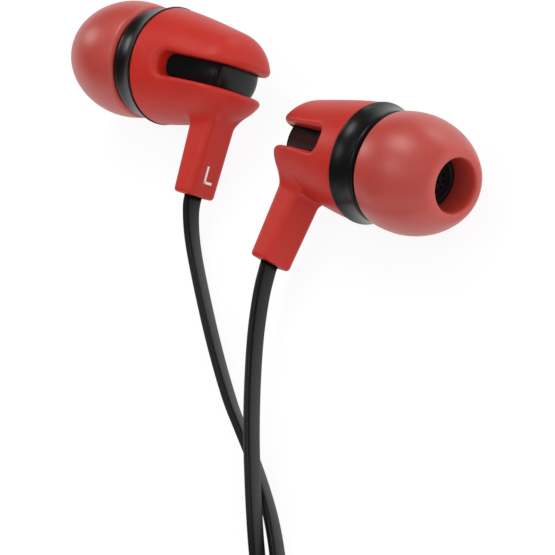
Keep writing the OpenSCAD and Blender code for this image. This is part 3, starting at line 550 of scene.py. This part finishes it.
def relaxed(points, faces, field, rounds=2):
    """Even out the net's points, then draw them back onto the surface."""
    for _ in range(rounds):
        total = np.zeros_like(points)
        count = np.zeros(len(points))
        for k in range(4):
            a, b = faces[:, k], faces[:, (k + 1) % 4]
            np.add.at(total, a, points[b])
            np.add.at(total, b, points[a])
            np.add.at(count, a, 1)
            np.add.at(count, b, 1)
        points = 0.5 * points + 0.5 * total / count[:, None]
        points = settle(field, points)
    return points


def skin(field, lo, hi, h):
    points, faces = surface_nets(field, lo, hi, h)
    return relaxed(settle(field, points), faces, field), faces


# ---------------------------------------------------------------- housing

HOUSING_R, WAIST_R, WAIST_LEN, DOME_LEN = 6.0, 4.7, 8.4, 3.35
WAIST_CURVE, DOME_CURVE = 1.3, 0.85
SHELL_SOFT, SHELL_EASE = (-11.2, -5.5), 0.8       # where the shell's bend is drawn softer
BARREL_X, BARREL_R, CAP_X, CAP_R = -2.65, 3.75, -10.2, 2.9
SPIGOT_R, SPIGOT_X, FLANGE_R, BARREL_PLAY = 5.3, -1.85, 4.3, 0.05
SLOT_FRONT, SLOT_HALF, SLOT_Z, SLOT_CORNER = -3.1, 1.225, -0.28, 0.85
STALK_W, STALK_T = (3.4, 2.5), (3.8, 4.1)         # at its foot and at its end
STALK_FOOT, STALK_ROOT, STALK_END = 3.45, 3.0, 0.3
STALK_CORNER, STALK_EDGE = 0.7, 0.38
FOOT_FILLET, FOOT_MORE, FOOT_SIDES = 0.4, 0.6, (0.9, 1.9)      # more at the foot's two sides
SLOT_FILLET, SLOT_MORE = 0.42, 0.3                             # more at the slot's two ends:
SLOT_OPEN_END, SLOT_FRONT_END = (8.3, 10.6), (-7.0, -3.3)
MOUTH_HALF = 0.45, 1.15                           # the cord's hole in the stalk, along x and y
MOUTH_TOP, MOUTH_LOW = 9.5, 13.5
FRONT_EDGE, CUT_EDGE = 0.06, 0.05
HOUSING_BOX = (-12.3, -6.4, -13.1), (0.5, 6.4, 6.4)
HOUSING_NET = 0.15


def softened(line, lo, hi, step=0.15, ease=SHELL_EASE):
    """The line resampled evenly, with its corners between x = lo and x = hi drawn softer."""
    line = np.array(line, float)
    far = distances(line)
    even = np.linspace(0, far[-1], int(far[-1] / step) + 1)
    line = np.stack([np.interp(even, far, line[:, i]) for i in range(2)], 1)
    pull = np.clip((line[:, 0] - lo) / ease, 0, 1) * np.clip((hi - line[:, 0]) / ease, 0, 1)
    return [tuple(p) for p in unbent(line, pull)]


def mirrored(line):
    """The line's points and the same on the axis's other side, so the distance is right near it."""
    return list(line) + [(x, -r) for x, r in reversed(line)]


def shell_outline(sides=24, dome=30):
    line = [(-WAIST_LEN * i / sides,
             HOUSING_R - (HOUSING_R - WAIST_R) * (i / sides) ** WAIST_CURVE)
            for i in range(sides + 1)]
    for i in range(1, dome + 1):
        a = math.radians(90 * i / dome)
        line.append((-WAIST_LEN - DOME_LEN * math.sin(a),
                     WAIST_R * max(math.cos(a), 0) ** DOME_CURVE))
    line = softened(line, *SHELL_SOFT)
    rest = line[1:-1]
    return ([(0.0, -HOUSING_R), (0.0, HOUSING_R)] + rest + [(line[-1][0], 0.0)]
            + [(x, -r) for x, r in reversed(rest)])


shell_field = profile_field(shell_outline())
bore_field = profile_field(mirrored([
    (1.0, SPIGOT_R), (SPIGOT_X, SPIGOT_R), (SPIGOT_X, FLANGE_R), (BARREL_X, FLANGE_R),
    (BARREL_X, BARREL_R + BARREL_PLAY), (CAP_X - BARREL_PLAY, CAP_R + BARREL_PLAY)]))


def stalk_field(x, y, z):
    down = np.clip((-z - STALK_FOOT) / (STALK_REACH - STALK_END - STALK_FOOT), 0, 1)
    w = STALK_W[0] + (STALK_W[1] - STALK_W[0]) * down
    t = STALK_T[0] + (STALK_T[1] - STALK_T[0]) * down
    side = corner_field(np.abs(x + STALK_BACK) - w / 2, np.abs(y) - t / 2, STALK_CORNER)
    side = both(side, -STALK_REACH - z, STALK_EDGE)
    return np.maximum(side, z + STALK_ROOT)


def housing_field(p):
    """The red shell: its body and stalk, less the two side slots, the bore and the cord's hole."""
    x, y, z = p[..., 0], p[..., 1], p[..., 2]
    r = np.sqrt(y * y + z * z)
    body = both(shell_field(x, r), x, FRONT_EDGE)
    foot = FOOT_FILLET + FOOT_MORE * step_up(np.abs(y), *FOOT_SIDES)
    body = either(body, stalk_field(x, y, z), foot)
    slot = corner_field(x - SLOT_FRONT, np.abs(z - SLOT_Z) - SLOT_HALF, SLOT_CORNER)
    lip = (SLOT_FILLET + SLOT_MORE * step_up(-x, *SLOT_OPEN_END)
           + SLOT_MORE * step_up(x, *SLOT_FRONT_END))
    body = both(body, -slot, lip)
    body = both(body, -bore_field(x, r), CUT_EDGE)
    mouth = np.maximum(np.maximum(np.abs(x + STALK_BACK) - MOUTH_HALF[0],
                                  np.abs(y) - MOUTH_HALF[1]),
                       np.maximum(z + MOUTH_TOP, -MOUTH_LOW - z))
    return both(body, -mouth, CUT_EDGE)


housing_points, housing_faces = skin(housing_field, *HOUSING_BOX, HOUSING_NET)


# ---------------------------------------------------------------- turned pieces

def arc(cx, cr, radius, a0, a1, n=6):
    return [(cx + radius * math.cos(math.radians(a0 + (a1 - a0) * k / n)),
             cr + radius * math.sin(math.radians(a0 + (a1 - a0) * k / n))) for k in range(n + 1)]


def bend(a, b, c, n=8):
    """A smooth curve from a to c that heads for b at both ends, without its first point."""
    return [tuple((1 - t) ** 2 * a[i] + 2 * t * (1 - t) * b[i] + t * t * c[i] for i in range(2))
            for t in (k / n for k in range(1, n + 1))]


def lathe(line, sides=128, tiny=1e-6):
    """A line of (x, r) points turned about the X axis; the line is closed, or ends on the axis."""
    line = [(x, max(r, 0.0)) for x, r in line]
    closed = line[0][1] > tiny and line[-1][1] > tiny
    points, rows = [], []
    for x, r in line:
        if r < tiny:
            rows.append([len(points)] * sides)
            points.append((x, 0.0, 0.0))
        else:
            rows.append(list(range(len(points), len(points) + sides)))
            points += [(x, r * math.cos(2 * math.pi * k / sides),
                        r * math.sin(2 * math.pi * k / sides)) for k in range(sides)]
    pairs = list(zip(rows, rows[1:])) + ([(rows[-1], rows[0])] if closed else [])
    faces = []
    for a, b in pairs:
        for k in range(sides):
            j = (k + 1) % sides
            face = tuple(dict.fromkeys((a[k], a[j], b[j], b[k])))
            if len(face) > 2:
                faces.append(face)
    return points, faces


def tip_line():
    """The silicone tip: its rear lip, dome and mouth, the bore and the hollow under the skirt."""
    back, wide, end = TIP_BACK_X, TIP_WIDE_X, TIP_END_X
    skirt, bore, core, draw, lip, rim = 0.55, 2.65, 3.25, 0.25, 0.55, 0.55
    last = end - rim
    lip_r = TIP_R - draw * (1 - lip / (wide - back)) ** 2
    rear = (back, TIP_R - draw - 0.5)
    line = [rear] + bend(rear, (back, lip_r - 0.06), (back + lip, lip_r))
    line += [(back + lip + (wide - back - lip) * k / 10,
              TIP_R - (TIP_R - lip_r) * (1 - k / 10) ** 2) for k in range(1, 11)]
    line += [(x, dome_at(x)) for x in (wide + (last - wide) * k / 44 for k in range(1, 45))]
    edge = dome_at(last)
    slope = (edge - dome_at(last - 0.05)) / 0.05
    line += bend((last, edge), (end, edge + slope * rim), (end, 3.1), 10)
    line += bend((end, 2.98), (end, 2.72), (end - 0.45, 2.67))
    line += [(end - 0.8, bore), (back + 0.1, bore), (back, bore + 0.08), (back, core - 0.08),
             (back + 0.08, core)]
    hollow = wide + 5.8 * 0.86
    line += [(back + 0.5 + (hollow - back - 0.5) * k / 12, core) for k in range(13)]
    inner = [hollow + (wide - hollow) * k / 24 for k in range(25)]
    line += [(x, max(dome_at(x) - skirt, core)) for x in inner if dome_at(x) - skirt > core + 0.02]
    line += [(wide + (back + 0.1 - wide) * k / 6, TIP_R - skirt - draw * (k / 6) ** 2)
             for k in range(1, 7)]
    return line + [(back + 0.02, TIP_R - skirt - draw + 0.08)]


def ring_line():
    """The black ring with its hollow taper, its spigot and the nozzle, in one moulding."""
    w, end, front, wall = RING_W, NOZZLE_END, RING_R - RING_TAPER, RING_W - 0.8
    spigot, driver, nozzle, tube, seat = 5.25, 4.65, 2.6, 1.8, 2.05
    neck, lip = nozzle - 0.25, 0.25
    line = [(-1.8, driver), (-1.8, spigot), (0.0, spigot)]
    line += [(0.0, RING_R - 0.28), (0.0, RING_R - 0.1), (0.03, RING_R - 0.03)]
    line += [(0.1 + (w - 0.5) * k / 16, front + RING_TAPER * (1 - k / 16) ** 2.8)
             for k in range(17)]
    line += bend((w - 0.4, front), (w, front), (w, front - 0.4))
    line += [(w, 2.55), (w + 0.05, 2.40), (w + 0.2, neck), (end - 1.25, neck),
             (end - 1.2, neck + 0.01), (end - 0.88, nozzle - 0.04), (end - 0.75, nozzle)]
    line += arc(end - lip, nozzle - lip, lip, 90, 0)
    return line + [(end, 2.1), (end - 0.02, seat), (end - 0.35, seat), (end - 0.35, tube),
                   (wall, tube), (wall, driver)]


CAP_FRONT = -9.3
cap_edge = BARREL_R + (CAP_R - BARREL_R) * (CAP_FRONT - BARREL_X) / (CAP_X - BARREL_X)


def barrel_line(flange=4.25, bore=3.0):
    return [(BARREL_X + 0.3, bore), (BARREL_X + 0.3, flange), (BARREL_X, flange),
            (BARREL_X, BARREL_R), (CAP_FRONT + 0.06, cap_edge), (CAP_FRONT, cap_edge - 0.05),
            (CAP_FRONT, cap_edge - 0.5), (BARREL_X, bore)]


def cap_line(plug=0.8, n=24):
    """The end cap, with a domed face."""
    inner, rim = cap_edge - 0.55, CAP_FRONT - 0.05
    line = [(CAP_FRONT + plug, 0.0), (CAP_FRONT + plug, inner), (CAP_FRONT, inner),
            (CAP_FRONT, cap_edge - 0.05), (rim, cap_edge)]
    for k in range(1, n + 1):
        a = math.radians(90 * k / n)
        line.append((rim - (rim - CAP_X) * math.sin(a), cap_edge * math.cos(a)))
    return line


# Strokes of the printed letters, as (y, z) on the back of the stalk
MARKS = {
    "left": [[(0.36, -9.42), (0.29, -10.93)], [(0.29, -10.93), (-0.61, -10.93)]],
    "right": [[(0.35, -10.93), (0.35, -9.35)],
              [(0.35, -9.42), (-0.25, -9.42), (-0.54, -9.6), (-0.6, -9.83), (-0.54, -10.06),
               (-0.25, -10.22), (0.35, -10.22)],
              [(-0.2, -10.24), (-0.65, -10.93)]],
}
MARK_X, MARK_STEP, MARK_PROUD, MARK_SUNK = -11.0, 0.1, 0.025, 0.05


def on_stalk(points, rounds=60, pace=0.7, close=0.0005):
    """The points moved forward along x until they lie on the housing."""
    points = points.copy()
    for _ in range(rounds):
        off = housing_field(points)
        if np.max(off) < close:
            break
        points[:, 0] += np.maximum(off, 0) * pace
    return points


def mark_faces(strokes, half=0.13):
    """A printed letter on the back of the stalk: thin strips that follow its surface."""
    points, faces = [], []
    for stroke in strokes:
        line = []
        for a, b in zip(stroke, stroke[1:]):
            n = max(int(math.hypot(b[0] - a[0], b[1] - a[1]) / MARK_STEP), 1)
            line += [(a[0] + (b[0] - a[0]) * k / n, a[1] + (b[1] - a[1]) * k / n)
                     for k in range(n)]
        line.append(stroke[-1])
        first, last = len(points), len(line) - 1
        for i, p in enumerate(line):
            q0, q1 = line[max(i - 1, 0)], line[min(i + 1, last)]
            dy, dz = q1[0] - q0[0], q1[1] - q0[1]
            size = math.hypot(dy, dz)
            dy, dz = dy / size * half, dz / size * half
            off = -1 if i == 0 else 1 if i == last else 0
            for s in (-1, 1):
                points.append((MARK_X, p[0] - s * dz + off * dy, p[1] + s * dy + off * dz))
        for i in range(last):
            a = first + 2 * i
            faces.append((a, a + 1, a + 3, a + 2))
    flat = on_stalk(np.array(points))
    n = len(flat)
    edges = dict.fromkeys(edge for f in faces for edge in zip(f, f[1:] + f[:1]))
    under = [tuple(v + n for v in reversed(f)) for f in faces]
    walls = [(b, a, a + n, b + n) for a, b in edges if (b, a) not in edges]
    return (np.concatenate([flat - (MARK_PROUD, 0, 0), flat + (MARK_SUNK, 0, 0)]),
            faces + under + walls)


for side, matrix in (("left", LEFT), ("right", RIGHT)):
    housing = add_mesh(side + "_housing_shell", moved(housing_points, matrix), housing_faces, RED)
    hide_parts(side + "_housing")
    points, faces = lathe(tip_line(), 160)
    tip = add_mesh(side + "_silicone_tip", moved(points, matrix), faces, SILICONE, side + "_tip")
    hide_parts(side + "_ear_tip")
    for name, line, old in (("ring_and_nozzle", ring_line(), "front_shell"),
                            ("inner_barrel", barrel_line(), "barrel"),
                            ("inner_cap", cap_line(), "end_cap")):
        points, faces = lathe(line)
        piece = add_mesh(side + "_" + name, moved(points, matrix), faces, GLOSS)
        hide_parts(side + "_" + old)
    points, faces = mark_faces(MARKS[side])
    mark = add_mesh(side + "_mark", moved(points, matrix), faces, PRINT, smooth=False)


# ---------------------------------------------------------------- splitter

SPLIT_HALF_W, SPLIT_HALF_H, SPLIT_CORNER, SPLIT_END, SEAM_EDGE = 2.5, 1.7, 1.25, 0.6, 0.1
SPLIT_SLIM, SPLIT_SLIM_FROM = 0.45, 7.0           # it slims toward the main cord
GROOVES, GROOVE_R, GROOVE_EDGE = (-6.5, -9.0, -11.5), 0.3, 0.12
SPLIT_BOX = (-SPLIT_LEN - 0.5, -2.9, -2.1), (0.5, 2.9, 2.1)
SPLIT_NET = 0.2


def splitter_field(p):
    """Both halves as one bar: x runs from the forked end at 0 back to the other end."""
    x, y, z = p[..., 0], p[..., 1], p[..., 2]
    slim = SPLIT_SLIM * step_up(-x, SPLIT_SLIM_FROM, SPLIT_LEN)
    side = corner_field(np.abs(y) - SPLIT_HALF_W + slim,
                        np.abs(z) - SPLIT_HALF_H + 0.4 * slim, SPLIT_CORNER)
    body = both(side, np.abs(x + SPLIT_LEN / 2) - SPLIT_LEN / 2, SPLIT_END)
    for groove in GROOVES:
        body = both(body, GROOVE_R - np.sqrt((x - groove) ** 2 + side ** 2), GROOVE_EDGE)
    return body


def half_of(field, side):
    """The part of a field above z = 0 for side 1, or below it for side -1."""
    return lambda p: both(field(p), -side * p[..., 2], SEAM_EDGE)


for name, side in (("splitter_top", 1), ("splitter_bottom", -1)):
    points, faces = skin(half_of(splitter_field, side), *SPLIT_BOX, SPLIT_NET)
    piece = add_mesh(name + "_shell", points + np.array([SPLIT_X, SPLIT_Y, SPLIT_Z]), faces, MATTE)
    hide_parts(name)


# ---------------------------------------------------------------- plug

BOOT_END, GRIP_END = PLUG_X + 9.0, PLUG_X + 24.0
CONTACT_R, BAND_R = 1.75, 1.73
SLEEVE, RING, PIN_TIP = (9.75, 16.4), (17.1, 19.0), 19.7     # along x; the bands fill the gaps
RIBS, RIB_DEPTH, RIB_SPAN, RIB_FADE, RIB_INNER = 20, 0.16, (-3.2, 8.6), 0.8, 2.4


def plug_piece(name, lines, material, old, ribbed=False):
    points, faces = [], []
    for line in lines:
        pts, fcs = lathe(line)
        faces += [tuple(v + len(points) for v in f) for f in fcs]
        points += pts
    points = np.array(points, float)
    if ribbed:
        lo, hi = RIB_SPAN
        x, r = points[:, 0], np.hypot(points[:, 1], points[:, 2])
        where = (step_up(x, lo, lo + RIB_FADE) * (1 - step_up(x, hi - RIB_FADE, hi))
                 * (r > RIB_INNER))
        wave = 0.5 + 0.5 * np.cos(RIBS * np.arctan2(points[:, 2], points[:, 1]))
        points[:, 1:] *= (1 - RIB_DEPTH * where * wave / np.maximum(r, 1e-6))[:, None]
    piece = add_mesh(name, points + np.array([0.0, PLUG_Y, PLUG_Z]), faces, material)
    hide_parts(old)
    return piece


def boot_line(groove=0.35, apart=1.8, n=100):
    """The cord's flexible boot: a cone with four soft grooves."""
    first = 0.25
    line = [(PLUG_X, 0.0), (PLUG_X, 1.3)]
    line += bend((PLUG_X, 1.3), (PLUG_X, 1.5), (PLUG_X + first, 1.525), 4)
    for k in range(1, n + 1):
        x = PLUG_X + first + 8.5 * k / n
        dip = sum(math.exp(-((x - PLUG_X - apart * i) / 0.3) ** 2) for i in range(1, 5))
        line.append((x, 1.5 + 0.1 * (x - PLUG_X) - groove * dip))
    return line + [(BOOT_END, 2.4), (BOOT_END, 0.0)]


def grip_line(n=60):
    """The grip: a slightly waisted barrel with a seat for the sleeve in its front."""
    lo, hi, r, shoulder = BOOT_END, GRIP_END, 2.93, 1.2
    line = [(lo, 0.0), (lo, 2.0)] + bend((lo, 2.0), (lo, 2.85), (lo + shoulder, r))
    line += [(lo + shoulder + 13.2 * k / n,
              r + 0.05 * k / n - 0.16 * math.sin(math.pi * k / n) ** 2) for k in range(1, n + 1)]
    line += bend((hi - 0.6, 2.98), (hi, 2.98), (hi, 2.45), 6)
    return line + [(hi, 1.85), (hi - 0.05, 1.79), (hi - 0.3, 1.78), (hi - 0.3, 0.0)]


def contact_line(lo, hi, r=CONTACT_R, e=0.06):
    return [(lo, 0.0), (lo, r - e), (lo + e, r), (hi - e, r), (hi, r - e), (hi, 0.0)]


def plug_tip_line():
    line = [(PIN_TIP, 0.0), (PIN_TIP, 1.69), (19.76, CONTACT_R), (19.9, 1.74)]
    line += bend((19.9, 1.74), (20.9, 1.15), (21.3, 1.15))
    line += bend((21.3, 1.15), (21.7, 1.15), (21.95, 1.35), 6)
    line += bend((21.95, 1.35), (22.3, 1.62), (22.6, 1.43))
    line += bend((22.6, 1.43), (23.6, 0.6), (23.85, 0.38))
    return line + bend((23.85, 0.38), (24.0, 0.25), (24.0, 0.0), 5)


bands = [contact_line(SLEEVE[1], RING[0], BAND_R, 0.02),
         contact_line(RING[1], PIN_TIP, BAND_R, 0.02)]
plug_pieces = [
    plug_piece("plug_boot_shell", [boot_line()], MATTE, "plug_boot"),
    plug_piece("plug_grip_shell", [grip_line()], MATTE, "plug_grip", ribbed=True),
    plug_piece("plug_sleeve_contact", [contact_line(*SLEEVE)], CONTACT, "plug_sleeve"),
    plug_piece("plug_ring_contact", [contact_line(*RING)], CONTACT, "plug_ring"),
    plug_piece("plug_tip_contact", [plug_tip_line()], CONTACT, "plug_tip"),
    plug_piece("plug_bands", bands, BAND, "plug_insulators")]


# ---------------------------------------------------------------- ties

def rounded(x0, x1, y0, y1, r, n=6):
    corners = ((x1 - r, y1 - r, 0), (x0 + r, y1 - r, 90), (x0 + r, y0 + r, 180),
               (x1 - r, y0 + r, 270))
    return [(cx + r * math.cos(math.radians(a0 + 90 * i / n)),
             cy + r * math.sin(math.radians(a0 + 90 * i / n)))
            for cx, cy, a0 in corners for i in range(n + 1)]


def tie(name, paths, centre, angle, half=2.5, edge=0.09, play=0.2, corner=1.0, near=0.93):
    """A soft flat band round both layers of a coil, with rounded edges.

    near is the least cosine from the band's direction at which a point of the coil counts."""
    out = np.array([math.cos(math.radians(angle)), math.sin(math.radians(angle))])
    away = np.concatenate([np.array(p)[:, :2] - np.array(centre) for p in paths])
    size = np.linalg.norm(away, axis=1)
    size = size[away @ out > near * size]
    lo = math.sqrt((size.min() - CORD_T / 2) ** 2 - half ** 2) - play
    hi = size.max() + CORD_T / 2 + play
    top = COIL_Z + LAYER_RISE + CORD_W / 2 + play
    outer = np.array(rounded(lo - TIE_T, hi + TIE_T, 0.0, top + TIE_T, corner))
    inner = np.array(rounded(lo, hi, TIE_T, top, corner - TIE_T))
    # across the band: how far from its outside to its inside, and how far along the cord
    loop = [(0.0, -half + edge), (0.0, half - edge), (0.3, half), (0.7, half),
            (1.0, half - edge), (1.0, -half + edge), (0.7, -half), (0.3, -half)]
    points = []
    for a, b in zip(outer, inner):
        for mix, w in loop:
            x, z = a + (b - a) * mix
            points.append((centre[0] + x * out[0] + w * out[1],
                           centre[1] + x * out[1] - w * out[0], z))
    n, m = len(outer), len(loop)
    faces = [(i * m + j, i * m + (j + 1) % m, (i + 1) % n * m + (j + 1) % m, (i + 1) % n * m + j)
             for i in range(n) for j in range(m)]
    piece = add_mesh(name + "_band", points, faces, TIE)
    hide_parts(name)
    return piece


pair_tie = tie("pair_tie", [left_coil, right_coil], PAIR["centre"], -45)
main_tie = tie("main_tie", [main_coil], MAIN["centre"], 220)


# ---------------------------------------------------------------- floor, world and lamps

FLOOR_HALF, FLOOR_Z, FLOOR_WHITE = 3.0, -0.0001, 0.85
FLOOR_SHADED, FLOOR_GLOW = 0.10, 0.91             # what the eye sees: a little shadow on white
WHITE = (1, 1, 1, 1)
# The tent that lights the object is brightest toward OPEN_SIDE: its least and most
OPEN_SIDE, TENT = (0.84, -0.54, 0.0), (0.05, 1.5)
# What gloss sees: a white skirt that darkens to the roof between these heights,
SKIRT, ROOF = (0.12, 0.45), 0.05
# and darkens to WING_DARK away from the open side, between these shares of that direction
WING, WING_DARK = (-0.85, -0.1), 0.12


def seen_or_not(tree, seen, unseen):
    """One shader for what the camera, gloss and glass see, and one that lights the object."""
    path = add_node(tree, "LightPath")
    ray = path.outputs["Is Camera Ray"]
    for name in ("Is Glossy Ray", "Is Transmission Ray"):
        either_ray = add_node(tree, "Math")
        either_ray.operation = "MAXIMUM"
        tree.links.new(ray, either_ray.inputs[0])
        tree.links.new(path.outputs[name], either_ray.inputs[1])
        ray = either_ray.outputs[0]
    mix = add_node(tree, "MixShader")
    tree.links.new(ray, mix.inputs["Fac"])
    tree.links.new(unseen, mix.inputs[1])
    tree.links.new(seen, mix.inputs[2])
    return mix.outputs[0]


def floor():
    """White paper: it stays white to the eye, and still takes a soft shadow."""
    mat = bpy.data.materials.new("floor_white")
    mat.use_nodes = True
    tree = mat.node_tree
    plain = tree.nodes["Principled BSDF"]
    plain.inputs["Base Color"].default_value = (FLOOR_WHITE, FLOOR_WHITE, FLOOR_WHITE, 1)
    plain.inputs["Roughness"].default_value = 0.9
    shaded = add_node(tree, "BsdfDiffuse", Color=(FLOOR_SHADED, FLOOR_SHADED, FLOOR_SHADED, 1))
    glow = add_node(tree, "Emission", Strength=FLOOR_GLOW)
    seen = add_node(tree, "AddShader")
    tree.links.new(shaded.outputs[0], seen.inputs[0])
    tree.links.new(glow.outputs[0], seen.inputs[1])
    tree.links.new(seen_or_not(tree, seen.outputs[0], plain.outputs[0]),
                   tree.nodes["Material Output"].inputs[0])
    mesh = bpy.data.meshes.new("floor")
    corners = [(x * FLOOR_HALF, y * FLOOR_HALF, FLOOR_Z)
               for x, y in ((-1, -1), (1, -1), (1, 1), (-1, 1))]
    mesh.from_pydata(corners, [], [(0, 1, 2, 3)])
    obj = bpy.data.objects.new("floor", mesh)
    mesh.materials.append(mat)
    scene.collection.objects.link(obj)


def graded(tree, value, smooth=False, **ends):
    """The value mapped from one range to another."""
    node = add_node(tree, "MapRange", **ends)
    if smooth:
        node.interpolation_type = "SMOOTHSTEP"
    tree.links.new(value, node.inputs["Value"])
    return node.outputs["Result"]


def studio():
    """A light tent, brighter on its open side; gloss sees its white skirt and its dim roof."""
    world = bpy.data.worlds.new("studio")
    world.use_nodes = True
    tree = world.node_tree
    coords = add_node(tree, "TexCoord").outputs["Generated"]
    parts = add_node(tree, "SeparateXYZ")
    tree.links.new(coords, parts.inputs[0])
    toward = add_node(tree, "VectorMath")
    toward.operation = "DOT_PRODUCT"
    toward.inputs[1].default_value = OPEN_SIDE
    tree.links.new(coords, toward.inputs[0])
    toward = toward.outputs["Value"]
    plain = tree.nodes["Background"]
    plain.inputs["Color"].default_value = WHITE
    tree.links.new(graded(tree, toward, From_Min=-1.0, To_Min=TENT[0], To_Max=TENT[1]),
                   plain.inputs["Strength"])
    roof = graded(tree, parts.outputs["Z"], smooth=True, From_Min=SKIRT[0], From_Max=SKIRT[1],
                  To_Min=1.0, To_Max=ROOF)
    wing = graded(tree, toward, smooth=True, From_Min=WING[0], From_Max=WING[1],
                  To_Min=WING_DARK, To_Max=1.0)
    seen = add_node(tree, "Background", Color=WHITE)
    both_ways = add_node(tree, "Math")
    both_ways.operation = "MULTIPLY"
    tree.links.new(roof, both_ways.inputs[0])
    tree.links.new(wing, both_ways.inputs[1])
    tree.links.new(both_ways.outputs[0], seen.inputs["Strength"])
    tree.links.new(seen_or_not(tree, seen.outputs[0], plain.outputs[0]),
                   tree.nodes["World Output"].inputs[0])
    scene.world = world


def softbox(name, toward, distance, size, power, aim_at=(0.0, 0.0, 0.005)):
    data = bpy.data.lights.new(name, "AREA")
    data.shape = "RECTANGLE"
    data.size, data.size_y = size
    data.energy = power
    lamp = bpy.data.objects.new(name, data)
    scene.collection.objects.link(lamp)
    toward = Vector(toward).normalized()
    place = Vector(aim_at) + toward * distance
    turn = toward.to_track_quat("Z", "Y").to_matrix().to_4x4()
    lamp.matrix_world = Matrix.Translation(place) @ turn


floor()
studio()
softbox("key", (0.02, 0.50, 0.87), 0.5, (0.16, 0.16), 0.62)
softbox("side", (-0.72, 0.56, 0.42), 0.5, (0.12, 0.12), 0.32)
softbox("rim", (0.53, 0.81, 0.28), 0.6, (0.2, 0.08), 0.3)
softbox("fill", (-0.3, -0.12, 0.95), 0.5, (0.16, 0.16), 0.25)
